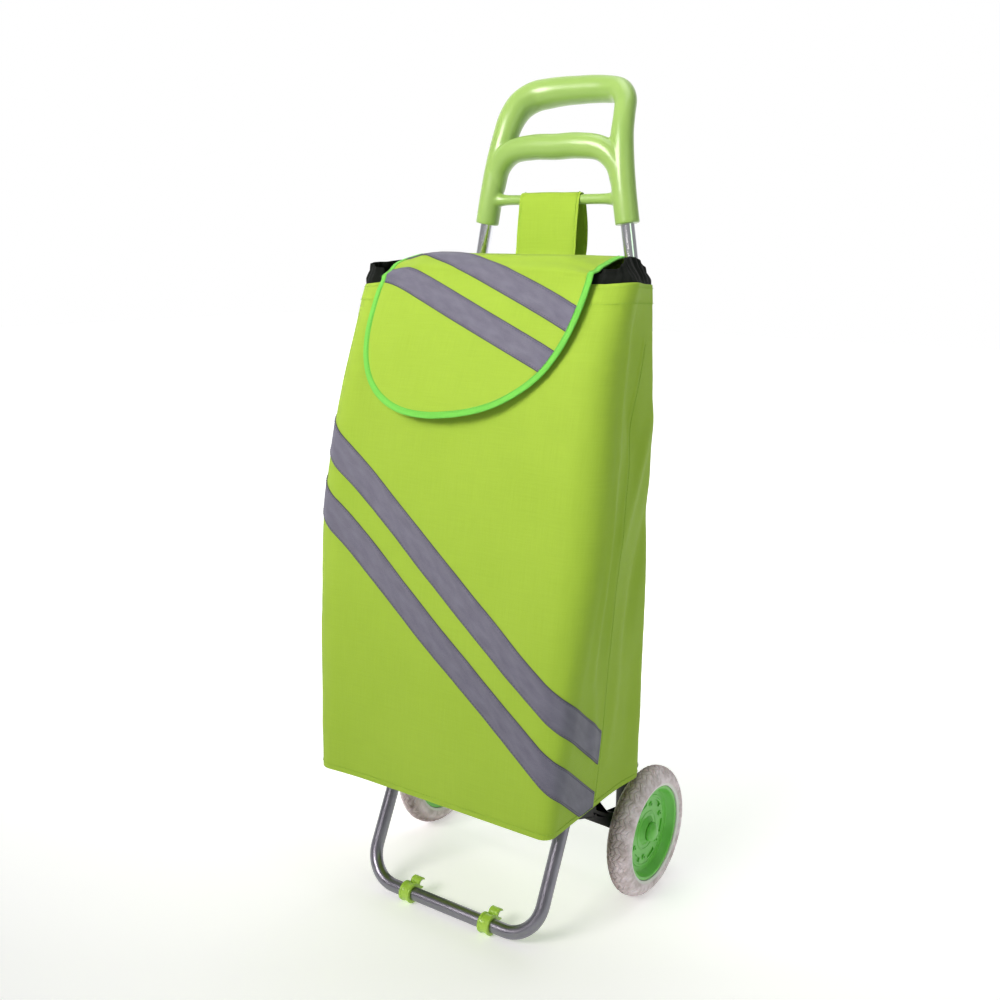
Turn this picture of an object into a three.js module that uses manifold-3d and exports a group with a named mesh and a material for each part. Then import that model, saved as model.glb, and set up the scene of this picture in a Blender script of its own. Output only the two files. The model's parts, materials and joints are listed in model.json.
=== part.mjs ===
// A two-wheeled folding shopping trolley: a soft open-topped bag with a drawstring collar and a flap,
// carried by two steel uprights, with a folding front foot.
// Millimetres, +Z up, the bag's front faces -Y, and X runs across the trolley.
// Every part is placed from the axle's centre line; the whole is then moved so that the origin
// is on the floor below the middle of its box.
import * as THREE from 'three';
import { mergeVertices } from 'three/addons/utils/BufferGeometryUtils.js';
import Module from 'manifold-3d';

const wasm = await Module();
wasm.setup();

// ---- driving dimensions ---------------------------------------------------------------------
const gap = 0.3;                    // air left between touching pieces

const wheelRadius = 80;
const tyreWidth = 30;
const wheelCentreX = 159;
const rimRadius = 58;
const axleRadius = 4;
const axleHalfLength = 171.5;
const hubBore = 6.6;

const tubeRadius = 8;
const tubeWall = 1.2;
const uprightX = 130;
const uprightFoot = 104;            // height of the uprights' lower ends, inside the brackets
const bendHeight = 615;             // where the uprights turn in towards the handle
const socketX = 97.5;               // half the distance between the handle's sockets
const socketY = 13;
const socketZ = 801;                // lower face of the handle's sockets
const crossTubeRadius = 6;
const crossTubeHeight = 205;
const uprightTop = 838;             // height of the uprights' upper ends, inside the handle
const handleScrewHeight = 818;
const bracketScrewHeight = 160;
const slimBarHeight = 829.3;        // the handle's bar that carries the bag's strap

const pivotY = -124;                // the rod that the front foot folds about
const pivotZ = 152;
const pivotRadius = 3;
const footX = 122;
const footY = -190;
const clipRadius = 12;              // the clips are the feet, so they set the bar's height
const clipX = 58;
const clipWidth = 15;
const hookReach = 17.4;             // from the foot bar's centre to the hook's; the legs clear the axle

const plateInner = 131.5;           // the side plates of the wheel brackets
const plateOuter = 141.5;

const bagBottom = 163;
const boardThickness = 3;
const rimHeight = 738;
const collarHeight = 762;
const bagWall = 2;
const flapHeight = 767;             // the flap's upper surface, where it folds over
const flapCentreX = -2;
const flapHalfWidth = 136.5;
const flapBottom = 599;
const flapHingeY = -39;
const flapFoldY = -118;
const flapThickness = 1.6;
const flapCurveTop = 715;           // below this height the flap's sides turn in to its rounded end
const flapTilt = 0.15;              // the rounded end hangs aslant, lower towards the left
const flapCurvePower = 2.3;
const tapeThickness = 0.8;
const strapHalfWidth = 41;

// ---- small helpers --------------------------------------------------------------------------
const v2 = (x, y) => new THREE.Vector2(x, y);
const v3 = (x, y, z) => new THREE.Vector3(x, y, z);
const radians = THREE.MathUtils.degToRad;

function solid(geometry) {
  const bare = geometry.clone();
  bare.deleteAttribute('normal');
  bare.deleteAttribute('uv');
  const merged = mergeVertices(bare, 1e-4);
  const mesh = new wasm.Mesh({
    numProp: 3,
    vertProperties: Float32Array.from(merged.attributes.position.array),
    triVerts: Uint32Array.from(merged.index.array),
  });
  mesh.merge();
  return new wasm.Manifold(mesh);
}

function geometryOf(manifold) {
  const mesh = manifold.getMesh();
  const geometry = new THREE.BufferGeometry();
  geometry.setAttribute('position', new THREE.BufferAttribute(mesh.vertProperties, 3));
  geometry.setIndex(new THREE.BufferAttribute(mesh.triVerts, 1));
  geometry.computeVertexNormals();
  return geometry;
}

// Adds the pieces in the first list and cuts away those in the second.
function shaped(add, cut = []) {
  let body = solid(add[0]);
  for (const piece of add.slice(1)) body = body.add(solid(piece));
  for (const piece of cut) body = body.subtract(solid(piece));
  return geometryOf(body);
}

// A skin through rings of points. A ring list that loops back on itself has no end caps.
function loft(rings, loops = false) {
  const count = rings[0].length;
  const positions = rings.flat().flatMap((p) => [p.x, p.y, p.z]);
  const index = [];
  const pairs = loops ? rings.length : rings.length - 1;
  for (let r = 0; r < pairs; r += 1) {
    const lower = r * count;
    const upper = ((r + 1) % rings.length) * count;
    for (let i = 0; i < count; i += 1) {
      const j = (i + 1) % count;
      index.push(lower + i, lower + j, upper + j, lower + i, upper + j, upper + i);
    }
  }
  if (!loops) {
    const end = (rings.length - 1) * count;
    for (let i = 1; i < count - 1; i += 1) {
      index.push(0, i + 1, i);
      index.push(end, end + i, end + i + 1);
    }
  }
  const geometry = new THREE.BufferGeometry();
  geometry.setAttribute('position', new THREE.Float32BufferAttribute(positions, 3));
  geometry.setIndex(index);
  return outward(geometry);
}

// Turns the faces of a closed skin so that they point out.
function outward(geometry) {
  const position = geometry.attributes.position;
  const index = geometry.index.array;
  const [a, b, c] = [v3(0, 0, 0), v3(0, 0, 0), v3(0, 0, 0)];
  let volume = 0;
  for (let i = 0; i < index.length; i += 3) {
    a.fromBufferAttribute(position, index[i]);
    b.fromBufferAttribute(position, index[i + 1]);
    c.fromBufferAttribute(position, index[i + 2]);
    volume += a.dot(b.cross(c));
  }
  if (volume < 0) {
    for (let i = 0; i < index.length; i += 3) [index[i], index[i + 1]] = [index[i + 1], index[i]];
  }
  geometry.computeVertexNormals();
  return geometry;
}

// A path through chosen stations, each with the mean direction of the stretches that meet there.
class Stations extends THREE.Curve {
  constructor(points) {
    super();
    this.points = points;
  }

  getPoint(t, target = v3(0, 0, 0)) {
    const place = t * (this.points.length - 1);
    const i = Math.min(Math.floor(place + 1e-9), this.points.length - 2);
    return target.lerpVectors(this.points[i], this.points[i + 1], place - i);
  }

  getPointAt(t, target) {
    return this.getPoint(t, target);
  }

  getTangentAt(t, target = v3(0, 0, 0)) {
    const i = Math.round(t * (this.points.length - 1));
    const here = this.points[i];
    const before = this.points[Math.max(i - 1, 0)];
    const after = this.points[Math.min(i + 1, this.points.length - 1)];
    const inward = here.clone().sub(before).normalize();
    const onward = after.clone().sub(here).normalize();
    return target.addVectors(inward, onward).normalize();
  }
}

// Replaces each inner corner of a polyline by an arc.
function roundedPath(corners, radius, arcSteps) {
  const points = [corners[0]];
  for (let i = 1; i < corners.length - 1; i += 1) {
    const back = corners[i - 1].clone().sub(corners[i]).normalize();
    const ahead = corners[i + 1].clone().sub(corners[i]).normalize();
    const half = back.angleTo(ahead) / 2;
    const reach = radius / Math.tan(half);
    const centre = back.clone().add(ahead).normalize().multiplyScalar(radius / Math.sin(half)).add(corners[i]);
    const from = back.multiplyScalar(reach).add(corners[i]).sub(centre);
    const to = ahead.multiplyScalar(reach).add(corners[i]).sub(centre);
    const turn = from.angleTo(to);
    for (let s = 0; s <= arcSteps; s += 1) {
      const a = (turn * s) / arcSteps;
      const spoke = from.clone().multiplyScalar(Math.sin(turn - a) / Math.sin(turn));
      points.push(spoke.addScaledVector(to, Math.sin(a) / Math.sin(turn)).add(centre));
    }
  }
  points.push(corners[corners.length - 1]);
  return points;
}

function circle(radius, sides) {
  const points = [];
  for (let i = 0; i < sides; i += 1) {
    const a = (2 * Math.PI * i) / sides;
    points.push(v2(radius * Math.cos(a), radius * Math.sin(a)));
  }
  return points;
}

function tubeAlong(points, radius, wall, sides) {
  const shape = new THREE.Shape(circle(radius, sides));
  if (wall > 0) shape.holes.push(new THREE.Path(circle(radius - wall, sides).reverse()));
  return new THREE.ExtrudeGeometry(shape, {
    extrudePath: new Stations(points),
    steps: points.length - 1,
    curveSegments: 1,
  });
}

// A cylinder along X between two places, centred on (y, z), with a vertex straight down.
function barX(x0, x1, y, z, radius, sides = 20) {
  const geometry = new THREE.CylinderGeometry(radius, radius, x1 - x0, sides);
  geometry.rotateZ(-Math.PI / 2);
  geometry.translate((x0 + x1) / 2, y, z);
  return geometry;
}

// An outline in the side plane, as [y, z] pairs, given a thickness from x0 to x1.
function plateX(outline, x0, x1) {
  const shape = new THREE.Shape(outline.map(([y, z]) => v2(y, z)));
  const geometry = new THREE.ExtrudeGeometry(shape, { depth: x1 - x0, bevelEnabled: false, curveSegments: 8 });
  geometry.applyMatrix4(new THREE.Matrix4().makeBasis(v3(0, 1, 0), v3(0, 0, 1), v3(1, 0, 0)));
  geometry.translate(x0, 0, 0);
  return geometry;
}

// A solid of revolution about X. The profile holds [x, radius] pairs and closes on itself.
function latheX(profile, segments) {
  const points = profile.map(([x, radius]) => v2(radius, x));
  points.push(points[0].clone());
  const geometry = new THREE.LatheGeometry(points, segments);
  geometry.rotateZ(-Math.PI / 2);
  return outward(indexed(geometry));
}

function indexed(geometry) {
  const bare = geometry.clone();
  bare.deleteAttribute('normal');
  bare.deleteAttribute('uv');
  return mergeVertices(bare, 1e-4);
}

function mirrored(geometry) {
  const copy = indexed(geometry);
  copy.scale(-1, 1, 1);
  return outward(copy);
}

function box(x0, x1, y0, y1, z0, z1) {
  const geometry = new THREE.BoxGeometry(x1 - x0, y1 - y0, z1 - z0);
  geometry.translate((x0 + x1) / 2, (y0 + y1) / 2, (z0 + z1) / 2);
  return geometry;
}

// ---- materials ------------------------------------------------------------------------------
const finish = (color, roughness, metalness = 0) => new THREE.MeshStandardMaterial({ color, roughness, metalness });
const chrome = finish(0xc9ccd2, 0.15, 1);
const satinSteel = finish(0x9a9ca6, 0.35, 1);
const zincSteel = finish(0xb4b4b0, 0.45, 1);
const handlePlastic = finish(0x96c85a, 0.3);
const clipPlastic = finish(0x9acb3c, 0.35);
const blackPlastic = finish(0x17171a, 0.55);
const hubPlastic = finish(0x4fb03a, 0.4);
const nylon = finish(0xe8e6dc, 0.5);
const tyreFoam = finish(0xb9aca8, 0.8);
const limeFabric = finish(0x9cca2c, 0.85);
const bindingFabric = finish(0x82e05f, 0.7);
const greyTape = finish(0x7d7d8c, 0.6);
const blackFabric = finish(0x28262e, 0.85);
const hardboard = finish(0x6b5138, 0.8);

const trolley = new THREE.Group();

function addPart(name, geometry, material) {
  const mesh = new THREE.Mesh(geometry, material);
  mesh.name = name;
  trolley.add(mesh);
  return mesh;
}

// Builds the right-hand piece and its mirror image on the left.
function addPair(name, geometry, material) {
  addPart(`${name}_right`, geometry, material);
  addPart(`${name}_left`, mirrored(geometry), material);
}

// ---- wheels and axle ------------------------------------------------------------------------
function tyreGeometry() {
  const crown = 10.7;                       // how far the shoulders fall below the tread's crown
  const halfWidth = tyreWidth / 2;
  const profile = [];
  const steps = 8;
  for (let i = 0; i <= steps; i += 1) {
    const u = -1 + (2 * i) / steps;
    profile.push([u * halfWidth, wheelRadius - crown * Math.abs(u) ** 2.5]);
  }
  profile.push([halfWidth - 2, rimRadius + gap]);
  profile.push([-halfWidth + 2, rimRadius + gap]);
  return latheX(profile, 40);
}

function hubGeometry() {
  // From the inner boss out along the web to the rim, then back over the dished outer face.
  return latheX([
    [-15, hubBore], [-15, 13], [-5, 15], [-3, 45], [-12, 50], [-12, rimRadius],
    [12, rimRadius], [12, 54], [2, 50], [1, 17], [6, 13], [6, hubBore],
  ], 36);
}

function addWheels() {
  const tyre = tyreGeometry();
  const hub = hubGeometry();
  const bushRadius = hubBore - gap;
  const bore = axleRadius + gap;
  const bush = latheX([[-15, bore], [-15, bushRadius], [6, bushRadius], [6, bore]], 16);
  const washer = latheX([[0, bore], [0, 9], [1, 9], [1, bore]], 16);
  // A low moulded dome that is pushed on to the end of the axle and keeps the wheel on.
  const cap = latheX([[0, bore], [0, 12], [1.5, 12], [5, 10], [7.6, 6], [8.4, 0], [7, 0], [7, bore]], 24);
  const capInset = 6.5;                     // from the wheel's middle, just clear of the hub's boss
  for (const [side, sign] of [['right', 1], ['left', -1]]) {
    const place = (mesh, x) => {
      mesh.position.set(sign * x, 0, wheelRadius);
      if (sign < 0) mesh.rotation.z = Math.PI;
    };
    place(addPart(`tyre_${side}`, tyre, tyreFoam), wheelCentreX);
    place(addPart(`hub_${side}`, hub, hubPlastic), wheelCentreX);
    place(addPart(`wheel_bush_${side}`, bush, nylon), wheelCentreX);
    place(addPart(`axle_washer_${side}`, washer, zincSteel), plateOuter + 1);
    place(addPart(`axle_cap_${side}`, cap, hubPlastic), wheelCentreX + capInset);
  }
  addPart('axle', barX(-axleHalfLength, axleHalfLength, 0, wheelRadius, axleRadius), zincSteel);
}

// ---- wheel brackets -------------------------------------------------------------------------
// Each bracket is one moulding: a boss for the axle, a socket for the upright, and an arm that rises
// forward to an eye for the foot's pivot rod, with a pad above it for the bag's base.
function bracketGeometry() {
  const bossRadius = 15;
  const eyeRadius = 7.5;
  const socketRadius = 12;
  const socketTop = 182;
  const padTop = bagBottom - 1;
  const arm = [
    [0, wheelRadius - bossRadius], [-14, wheelRadius - 4], [-55, 101.5],
    [pivotY + 6, pivotZ - eyeRadius], [pivotY - 4, pivotZ - eyeRadius], [pivotY - eyeRadius - 2, pivotZ],
    [pivotY - eyeRadius - 2, padTop], [pivotY + 24, padTop], [pivotY + 30, 138],
    [-38, 111], [-16, 106], [12, 106], [14, wheelRadius],
  ];
  return shaped([
    plateX(arm, plateInner, plateOuter),
    barX(plateInner, plateOuter, 0, wheelRadius, bossRadius, 24),
    tubeAlong([v3(uprightX, 0, 97), v3(uprightX, 0, socketTop)], socketRadius, 0, 24),
  ], [
    tubeAlong([v3(uprightX, 0, uprightFoot - gap), v3(uprightX, 2, socketTop + 10)], tubeRadius + 0.9, 0, 20),
    barX(plateInner - 5, plateOuter + 5, 0, wheelRadius, axleRadius + gap, 16),
    barX(plateInner - 5, plateOuter + 5, pivotY, pivotZ, pivotRadius + gap, 16),
    barX(uprightX + tubeRadius - 1, uprightX + 14, leanY(bracketScrewHeight), bracketScrewHeight, 2.3, 16),
  ]);
}

function addBrackets() {
  addPair('wheel_bracket', bracketGeometry(), blackPlastic);
  const screw = latheX([[0, 0], [0, 2], [4.1, 2], [4.1, 4.2], [5, 3.8], [5.6, 2.2], [5.6, 0]], 16);
  screw.translate(uprightX + tubeRadius + gap, leanY(bracketScrewHeight), bracketScrewHeight);
  addPair('bracket_screw', screw, zincSteel);
}

// ---- uprights, cross tube and handle --------------------------------------------------------
const leanY = (z) => (socketY * (z - uprightFoot)) / (socketZ - uprightFoot);
const leanX = (z) => (z < bendHeight
  ? uprightX
  : uprightX - ((uprightX - socketX) * (z - bendHeight)) / (socketZ - bendHeight));

// The middle of the right upright at height z.
const uprightAt = (z) => v3(leanX(z), leanY(z), z);

function addUprights() {
  const bendRadius = 90;
  const path = roundedPath([uprightAt(uprightFoot), uprightAt(bendHeight), uprightAt(uprightTop)], bendRadius, 4);
  addPair('upright', tubeAlong(path, tubeRadius, tubeWall, 16), chrome);
  const half = uprightX - tubeRadius - 0.4;
  const y = leanY(crossTubeHeight);
  addPart('cross_tube', tubeAlong([v3(-half, y, crossTubeHeight), v3(half, y, crossTubeHeight)],
    crossTubeRadius, tubeWall, 16), chrome);
}

// A round bar whose thickness changes along its centre line.
function grip(points, radiusAt, steps, sides) {
  const curve = new THREE.CatmullRomCurve3(points);
  const frames = curve.computeFrenetFrames(steps, false);
  const rings = [];
  for (let s = 0; s <= steps; s += 1) {
    const u = s / steps;
    const centre = curve.getPointAt(u);
    const radius = radiusAt(u);
    rings.push(circle(radius, sides).map((p) => centre.clone()
      .addScaledVector(frames.normals[s], p.x)
      .addScaledVector(frames.binormals[s], p.y)));
  }
  return loft(rings);
}

function handleGeometry() {
  // The outer hoop: up from the sockets, bending back into the upper grip.
  const half = [
    uprightAt(socketZ), uprightAt(uprightTop), v3(85.8, 17, 872), v3(82.5, 24, 901), v3(78.5, 34, 924),
    v3(72, 46, 943), v3(60, 56.5, 954.5), v3(40, 60.5, 957.5), v3(18, 61, 957),
  ];
  const mirror = (p) => v3(-p.x, p.y, p.z);
  const hoop = [...half, v3(0, 61, 956.5), ...half.map(mirror).reverse()];
  const swell = (u) => 14 + 2 * Math.sin(Math.PI * u) ** 2;
  // The middle grip arches between the legs, and a slim bar below it carries the bag's strap.
  const arch = [v3(88, 15, 843), v3(80, 14, 868), v3(62, 13, 884), v3(30, 12, 889)];
  const middle = [...arch, v3(0, 12, 888.5), ...arch.map(mirror).reverse()];
  const slim = [v3(-86, socketY, slimBarHeight), v3(86, socketY, slimBarHeight)];
  const onSide = (sign, p) => v3(sign * p.x, p.y, p.z);
  const bore = (sign) => tubeAlong([
    onSide(sign, uprightAt(socketZ - 10)), onSide(sign, uprightAt(uprightTop + gap)),
  ], tubeRadius + gap, 0, 16);
  const screwHole = (sign) => {
    const hole = new THREE.CylinderGeometry(2, 2, 14, 16);
    const place = onSide(sign, uprightAt(handleScrewHeight));
    hole.translate(place.x, place.y + 15, place.z);
    return hole;
  };
  return shaped([
    grip(hoop, swell, 40, 14),
    grip(middle, (u) => 12.5 + 2.3 * Math.sin(Math.PI * u), 20, 14),
    tubeAlong(slim, 5.4, 0, 12),
  ], [bore(1), bore(-1), screwHole(1), screwHole(-1)]);
}

function addHandle() {
  addPart('handle', handleGeometry(), handlePlastic);
  const screw = new THREE.LatheGeometry([v2(0, 0), v2(1.7, 0), v2(1.7, 6), v2(3.4, 6), v2(2.4, 8), v2(0, 8)], 16);
  const place = uprightAt(handleScrewHeight);
  screw.translate(place.x, place.y + tubeRadius + gap, place.z);
  addPair('handle_screw', screw, zincSteel);
}

// ---- folding foot ---------------------------------------------------------------------------
const legLength = Math.hypot(footY - pivotY, clipRadius - pivotZ);
const legAlong = v2(pivotY - footY, pivotZ - clipRadius).divideScalar(legLength);
const toAxle = v2(-pivotY, wheelRadius - pivotZ);

// The hook's direction from the bar, and the way it opens, follow from where the axle lies when folded.
function hookAngles() {
  const cosine = (toAxle.lengthSq() + hookReach ** 2 - legLength ** 2) / (2 * toAxle.length() * hookReach);
  const foldedHook = toAxle.angle() + Math.acos(cosine);
  const foldedBar = toAxle.clone().sub(v2(Math.cos(foldedHook), Math.sin(foldedHook)).multiplyScalar(hookReach));
  const restBar = v2(footY - pivotY, clipRadius - pivotZ);
  const fold = foldedBar.angle() - restBar.angle();
  return { fold, hook: foldedHook - fold, mouth: toAxle.angle() + Math.PI / 2 - fold };
}

function clipGeometry() {
  const { hook, mouth } = hookAngles();
  const x0 = clipX - clipWidth / 2;
  const x1 = clipX + clipWidth / 2;
  const y = footY + hookReach * Math.cos(hook);
  const z = clipRadius + hookReach * Math.sin(hook);
  const slotRadius = axleRadius + 0.4;
  const slot = box(x0 - 2, x1 + 2, 0, 20, -slotRadius, slotRadius);
  slot.rotateX(mouth);
  slot.translate(0, y, z);
  return shaped([
    barX(x0, x1, footY, clipRadius, clipRadius, 24),
    barX(x0, x1, y, z, slotRadius + 2.6, 24),
  ], [
    barX(x0 - 2, x1 + 2, footY, clipRadius, tubeRadius + gap, 24),
    barX(x0 - 2, x1 + 2, y, z, slotRadius, 24),
    slot,
  ]);
}

function addFoot() {
  const topExtra = 7;                       // how far the legs run on past their pivot
  const bendRadius = 40;
  const top = v3(footX, pivotY + legAlong.x * topExtra, pivotZ + legAlong.y * topExtra);
  const corner = v3(footX, footY, clipRadius);
  const mirror = (p) => v3(-p.x, p.y, p.z);
  const path = roundedPath([top, corner, mirror(corner), mirror(top)], bendRadius, 6);
  const tube = tubeAlong(path, tubeRadius, tubeWall, 16);
  const hole = barX(-plateInner, plateInner, pivotY, pivotZ, pivotRadius + gap, 16);
  addPart('foot_loop', shaped([tube], [hole]), satinSteel);
  addPair('snap_clip', clipGeometry(), clipPlastic);
  const rodHalf = plateOuter + 1;
  addPart('foot_pivot_rod', barX(-rodHalf, rodHalf, pivotY, pivotZ, pivotRadius), zincSteel);
  const spacer = latheX([[0, pivotRadius + gap], [0, 6], [0.8, 6], [0.8, pivotRadius + gap]], 12);
  spacer.translate(footX + tubeRadius + gap, pivotY, pivotZ);
  addPair('pivot_washer', spacer, zincSteel);
}

// ---- bag ------------------------------------------------------------------------------------
// The bag's outline at each level is a rounded box, wider and deeper below than at the rim.
const bagLevels = [
  { z: bagBottom, front: -228, back: -24, frontHalf: 161, backHalf: 156, corner: 14 },
  { z: 250, front: -222.5, back: -28, frontHalf: 168, backHalf: 159, corner: 25 },
  { z: 350, front: -216, back: -33, frontHalf: 176, backHalf: 162, corner: 31 },
  { z: 450, front: -203, back: -35, frontHalf: 184, backHalf: 163, corner: 33 },
  { z: 560, front: -186, back: -37, frontHalf: 182, backHalf: 164, corner: 34 },
  { z: 640, front: -169, back: -38, frontHalf: 176, backHalf: 163, corner: 32 },
  { z: 700, front: -147, back: -37.5, frontHalf: 175, backHalf: 162, corner: 29 },
  { z: rimHeight, front: -125, back: -37, frontHalf: 175, backHalf: 161, corner: 26 },
];
const backCorner = 14;

// The outline's measures at any height, straight between the levels.
function bagAt(z) {
  const top = bagLevels.length - 1;
  let i = 0;
  while (i < top - 1 && z > bagLevels[i + 1].z) i += 1;
  const [low, high] = [bagLevels[i], bagLevels[i + 1]];
  const t = THREE.MathUtils.clamp((z - low.z) / (high.z - low.z), 0, 1);
  return Object.fromEntries(Object.keys(low).map((key) => [key, THREE.MathUtils.lerp(low[key], high[key], t)]));
}

// Points round one level of the bag, each pushed out by the offset.
function bagRing(z, offset) {
  const level = bagAt(z);
  const arc = (x, y, radius, from) => [0, 1, 2, 3].map((i) => {
    const a = radians(from + 30 * i);
    return v3(x + (radius + offset) * Math.cos(a), y + (radius + offset) * Math.sin(a), z);
  });
  const right = [
    ...arc(level.frontHalf - level.corner, level.front + level.corner, level.corner, -90),
    ...arc(level.backHalf - backCorner, level.back - backCorner, backCorner, 0),
  ];
  const left = right.map((p) => v3(-p.x, p.y, p.z)).reverse();
  return [v3(0, level.front - offset, z), ...right, v3(0, level.back + offset, z), ...left];
}

function addBag() {
  const levels = bagLevels.map((level) => level.z);
  const outer = levels.map((z) => bagRing(z, 0));
  const inner = levels.slice(1).reverse().map((z) => bagRing(z, -bagWall));
  const floor = bagRing(bagBottom, -bagWall).map((p) => v3(p.x, p.y, bagBottom + bagWall));
  addPart('bag_body', loft([...outer, ...inner, floor]), limeFabric);

  const board = new THREE.Shape(bagRing(bagBottom, -5).map((p) => v2(p.x, p.y)));
  const boardGeometry = new THREE.ExtrudeGeometry(board, { depth: boardThickness, bevelEnabled: false });
  boardGeometry.translate(0, 0, bagBottom + bagWall + gap);
  addPart('base_board', boardGeometry, hardboard);

  // The drawstring collar stands on the rim and is drawn in slightly towards its top.
  const collarBottom = rimHeight + gap;
  const ringAt = (z, offset) => bagRing(rimHeight, offset).map((p) => v3(p.x, p.y, z));
  addPart('drawstring_collar', loft([
    ringAt(collarBottom, -0.5), ringAt(collarHeight, -9), ringAt(collarHeight, -11), ringAt(collarBottom, -2.5),
  ], true), blackFabric);
}

// A point on the bag's skin at a distance measured round it from the middle of the front.
function wrapPoint(around, z, offset) {
  const side = Math.sign(around) || 1;
  const level = bagAt(z);
  const radius = level.corner;
  const flat = level.frontHalf - radius;
  const bend = (Math.PI / 2) * radius;
  const distance = Math.abs(around);
  if (distance <= flat) return v3(around, level.front - offset, z);
  const cornerY = level.front + radius;
  if (distance <= flat + bend) {
    const a = (distance - flat) / radius - Math.PI / 2;
    const x = flat + (radius + offset) * Math.cos(a);
    return v3(side * x, cornerY + (radius + offset) * Math.sin(a), z);
  }
  const y = cornerY + distance - flat - bend;
  const x = THREE.MathUtils.mapLinear(y, cornerY, level.back - backCorner, level.frontHalf, level.backHalf);
  return v3(side * (x + offset), y, z);
}

// A tape sewn round the front of the bag from one side seam to the other, falling to the right.
function bagTape(topAtCentre) {
  const slope = 0.75;
  const height = 41;
  const seam = 250;
  const stations = 36;
  const lift = 1.6;                         // clears the corners between the levels
  const rings = [];
  for (let i = 0; i <= stations; i += 1) {
    const around = -seam + (2 * seam * i) / stations;
    const top = topAtCentre - slope * around;
    const low = Math.max(top - height, bagBottom + 3);
    const across = [0, 0.5, 1].map((t) => THREE.MathUtils.lerp(top, low, t));
    rings.push([
      ...across.map((z) => wrapPoint(around, z, lift)),
      ...across.reverse().map((z) => wrapPoint(around, z, lift + tapeThickness)),
    ]);
  }
  return loft(rings);
}

// ---- flap -----------------------------------------------------------------------------------
// The hanging part follows the bag's front; its lower edge is a broad U.
const flapFrontY = (z) => Math.min(bagAt(z).front - 7, flapFoldY - 1 - (flapHeight - z) * 0.45);
const flapAslant = (x, z) => {
  const below = THREE.MathUtils.clamp((flapHeight - 3 - z) / 60, 0, 1);
  return flapTilt * (x - flapCentreX) * below;
};
const flapHalfAt = (z) => {
  const below = THREE.MathUtils.clamp((flapCurveTop - z) / (flapCurveTop - flapBottom), 0, 1);
  return flapHalfWidth * (1 - below ** flapCurvePower) ** (1 / flapCurvePower);
};

function flapSlope(z) {
  const step = 1;
  return v2(flapFrontY(z + step) - flapFrontY(z - step), 2 * step).normalize();
}

// A point on the flap's outer face at height z, raised from it by the offset.
function flapPoint(x, z, offset) {
  const along = flapSlope(z);
  return v3(x, flapFrontY(z) - offset * along.y, z + offset * along.x);
}

function addFlap() {
  const top = new THREE.Shape();
  const y0 = flapFoldY + 3;
  top.moveTo(flapCentreX - flapHalfWidth, y0);
  top.lineTo(flapCentreX + flapHalfWidth, y0);
  top.lineTo(flapCentreX + flapHalfWidth - 2, flapHingeY);
  top.lineTo(flapCentreX - flapHalfWidth + 2, flapHingeY);
  const topGeometry = new THREE.ExtrudeGeometry(top, { depth: flapThickness, bevelEnabled: false });
  topGeometry.translate(0, 0, flapHeight - flapThickness);
  addPart('flap_top', topGeometry, limeFabric);

  const rows = 24;
  const rings = [];
  const startZ = flapHeight - 3;
  for (let i = 0; i <= rows; i += 1) {
    const t = i / rows;
    const z = startZ - (startZ - flapBottom - 0.6) * Math.sin((Math.PI / 2) * t);
    const half = Math.max(flapHalfAt(z), 12);
    const xs = [-1, -0.75, -0.5, -0.25, 0, 0.25, 0.5, 0.75, 1].map((share) => flapCentreX + share * half);
    const face = (offset) => xs.map((x) => flapPoint(x, z + flapAslant(x, z), offset));
    rings.push([...face(0), ...face(-flapThickness).reverse()]);
  }
  addPart('flap_front', loft(rings), limeFabric);
  addPart('flap_binding', flapBinding(startZ), bindingFabric);
  addPart('flap_tape_upper', flapTape(765, startZ), greyTape);
  addPart('flap_tape_lower', flapTape(714.5, startZ), greyTape);
}

// The binding runs just outside the flap's edge, from one end of the fold to the other.
function flapBinding(startZ) {
  const radius = 2.2;
  const clear = radius + gap + 0.3;
  const power = 2 / flapCurvePower;
  const points = [];
  const corner = (sign) => v3(flapCentreX + sign * (flapHalfWidth + clear), 0, startZ);
  const straight = [750, 734, 718];    // heights on the straight sides
  points.push(corner(-1));
  for (const z of straight) points.push(v3(flapCentreX - flapHalfWidth - clear, 0, z));
  const steps = 30;
  for (let i = 0; i <= steps; i += 1) {
    const a = Math.PI + (Math.PI * i) / steps;
    const c = Math.cos(a);
    const s = Math.sin(a);
    const x = Math.sign(c) * Math.abs(c) ** power * (flapHalfWidth + clear);
    const z = flapCurveTop - Math.abs(s) ** power * (flapCurveTop - flapBottom + clear);
    points.push(v3(flapCentreX + x, 0, z));
  }
  for (const z of straight.reverse()) points.push(v3(flapCentreX + flapHalfWidth + clear, 0, z));
  points.push(corner(1));
  const path = points.map((p) => flapPoint(p.x, p.z + flapAslant(p.x, p.z), -flapThickness / 2));
  return tubeAlong(path, radius, 0, 6);
}

// A tape sewn across the hanging part of the flap, falling to the right.
function flapTape(heightAtCentre, startZ) {
  const slope = 0.37;
  const height = 28;
  const margin = 4;
  const stations = 30;
  const lift = 1.4;
  const rings = [];
  for (let i = 0; i <= stations; i += 1) {
    const x = THREE.MathUtils.lerp(flapCentreX - flapHalfWidth + margin, flapCentreX + flapHalfWidth - margin,
      i / stations);
    const top = Math.min(heightAtCentre - slope * x, startZ - 1);
    const low = Math.min(heightAtCentre - slope * x - height, startZ - 2);
    const reach = Math.abs(x - flapCentreX);
    const room = Math.min(...[top, low].map((z) => flapHalfAt(z - flapAslant(x, z)))) - margin;
    if (top - low < 4 || reach > room + 0.1) continue;
    const across = [0, 0.5, 1].map((t) => THREE.MathUtils.lerp(top, low, t));
    rings.push([
      ...across.map((z) => flapPoint(x, z, lift)),
      ...across.reverse().map((z) => flapPoint(x, z, lift + tapeThickness)),
    ]);
  }
  return loft(rings);
}

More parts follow.
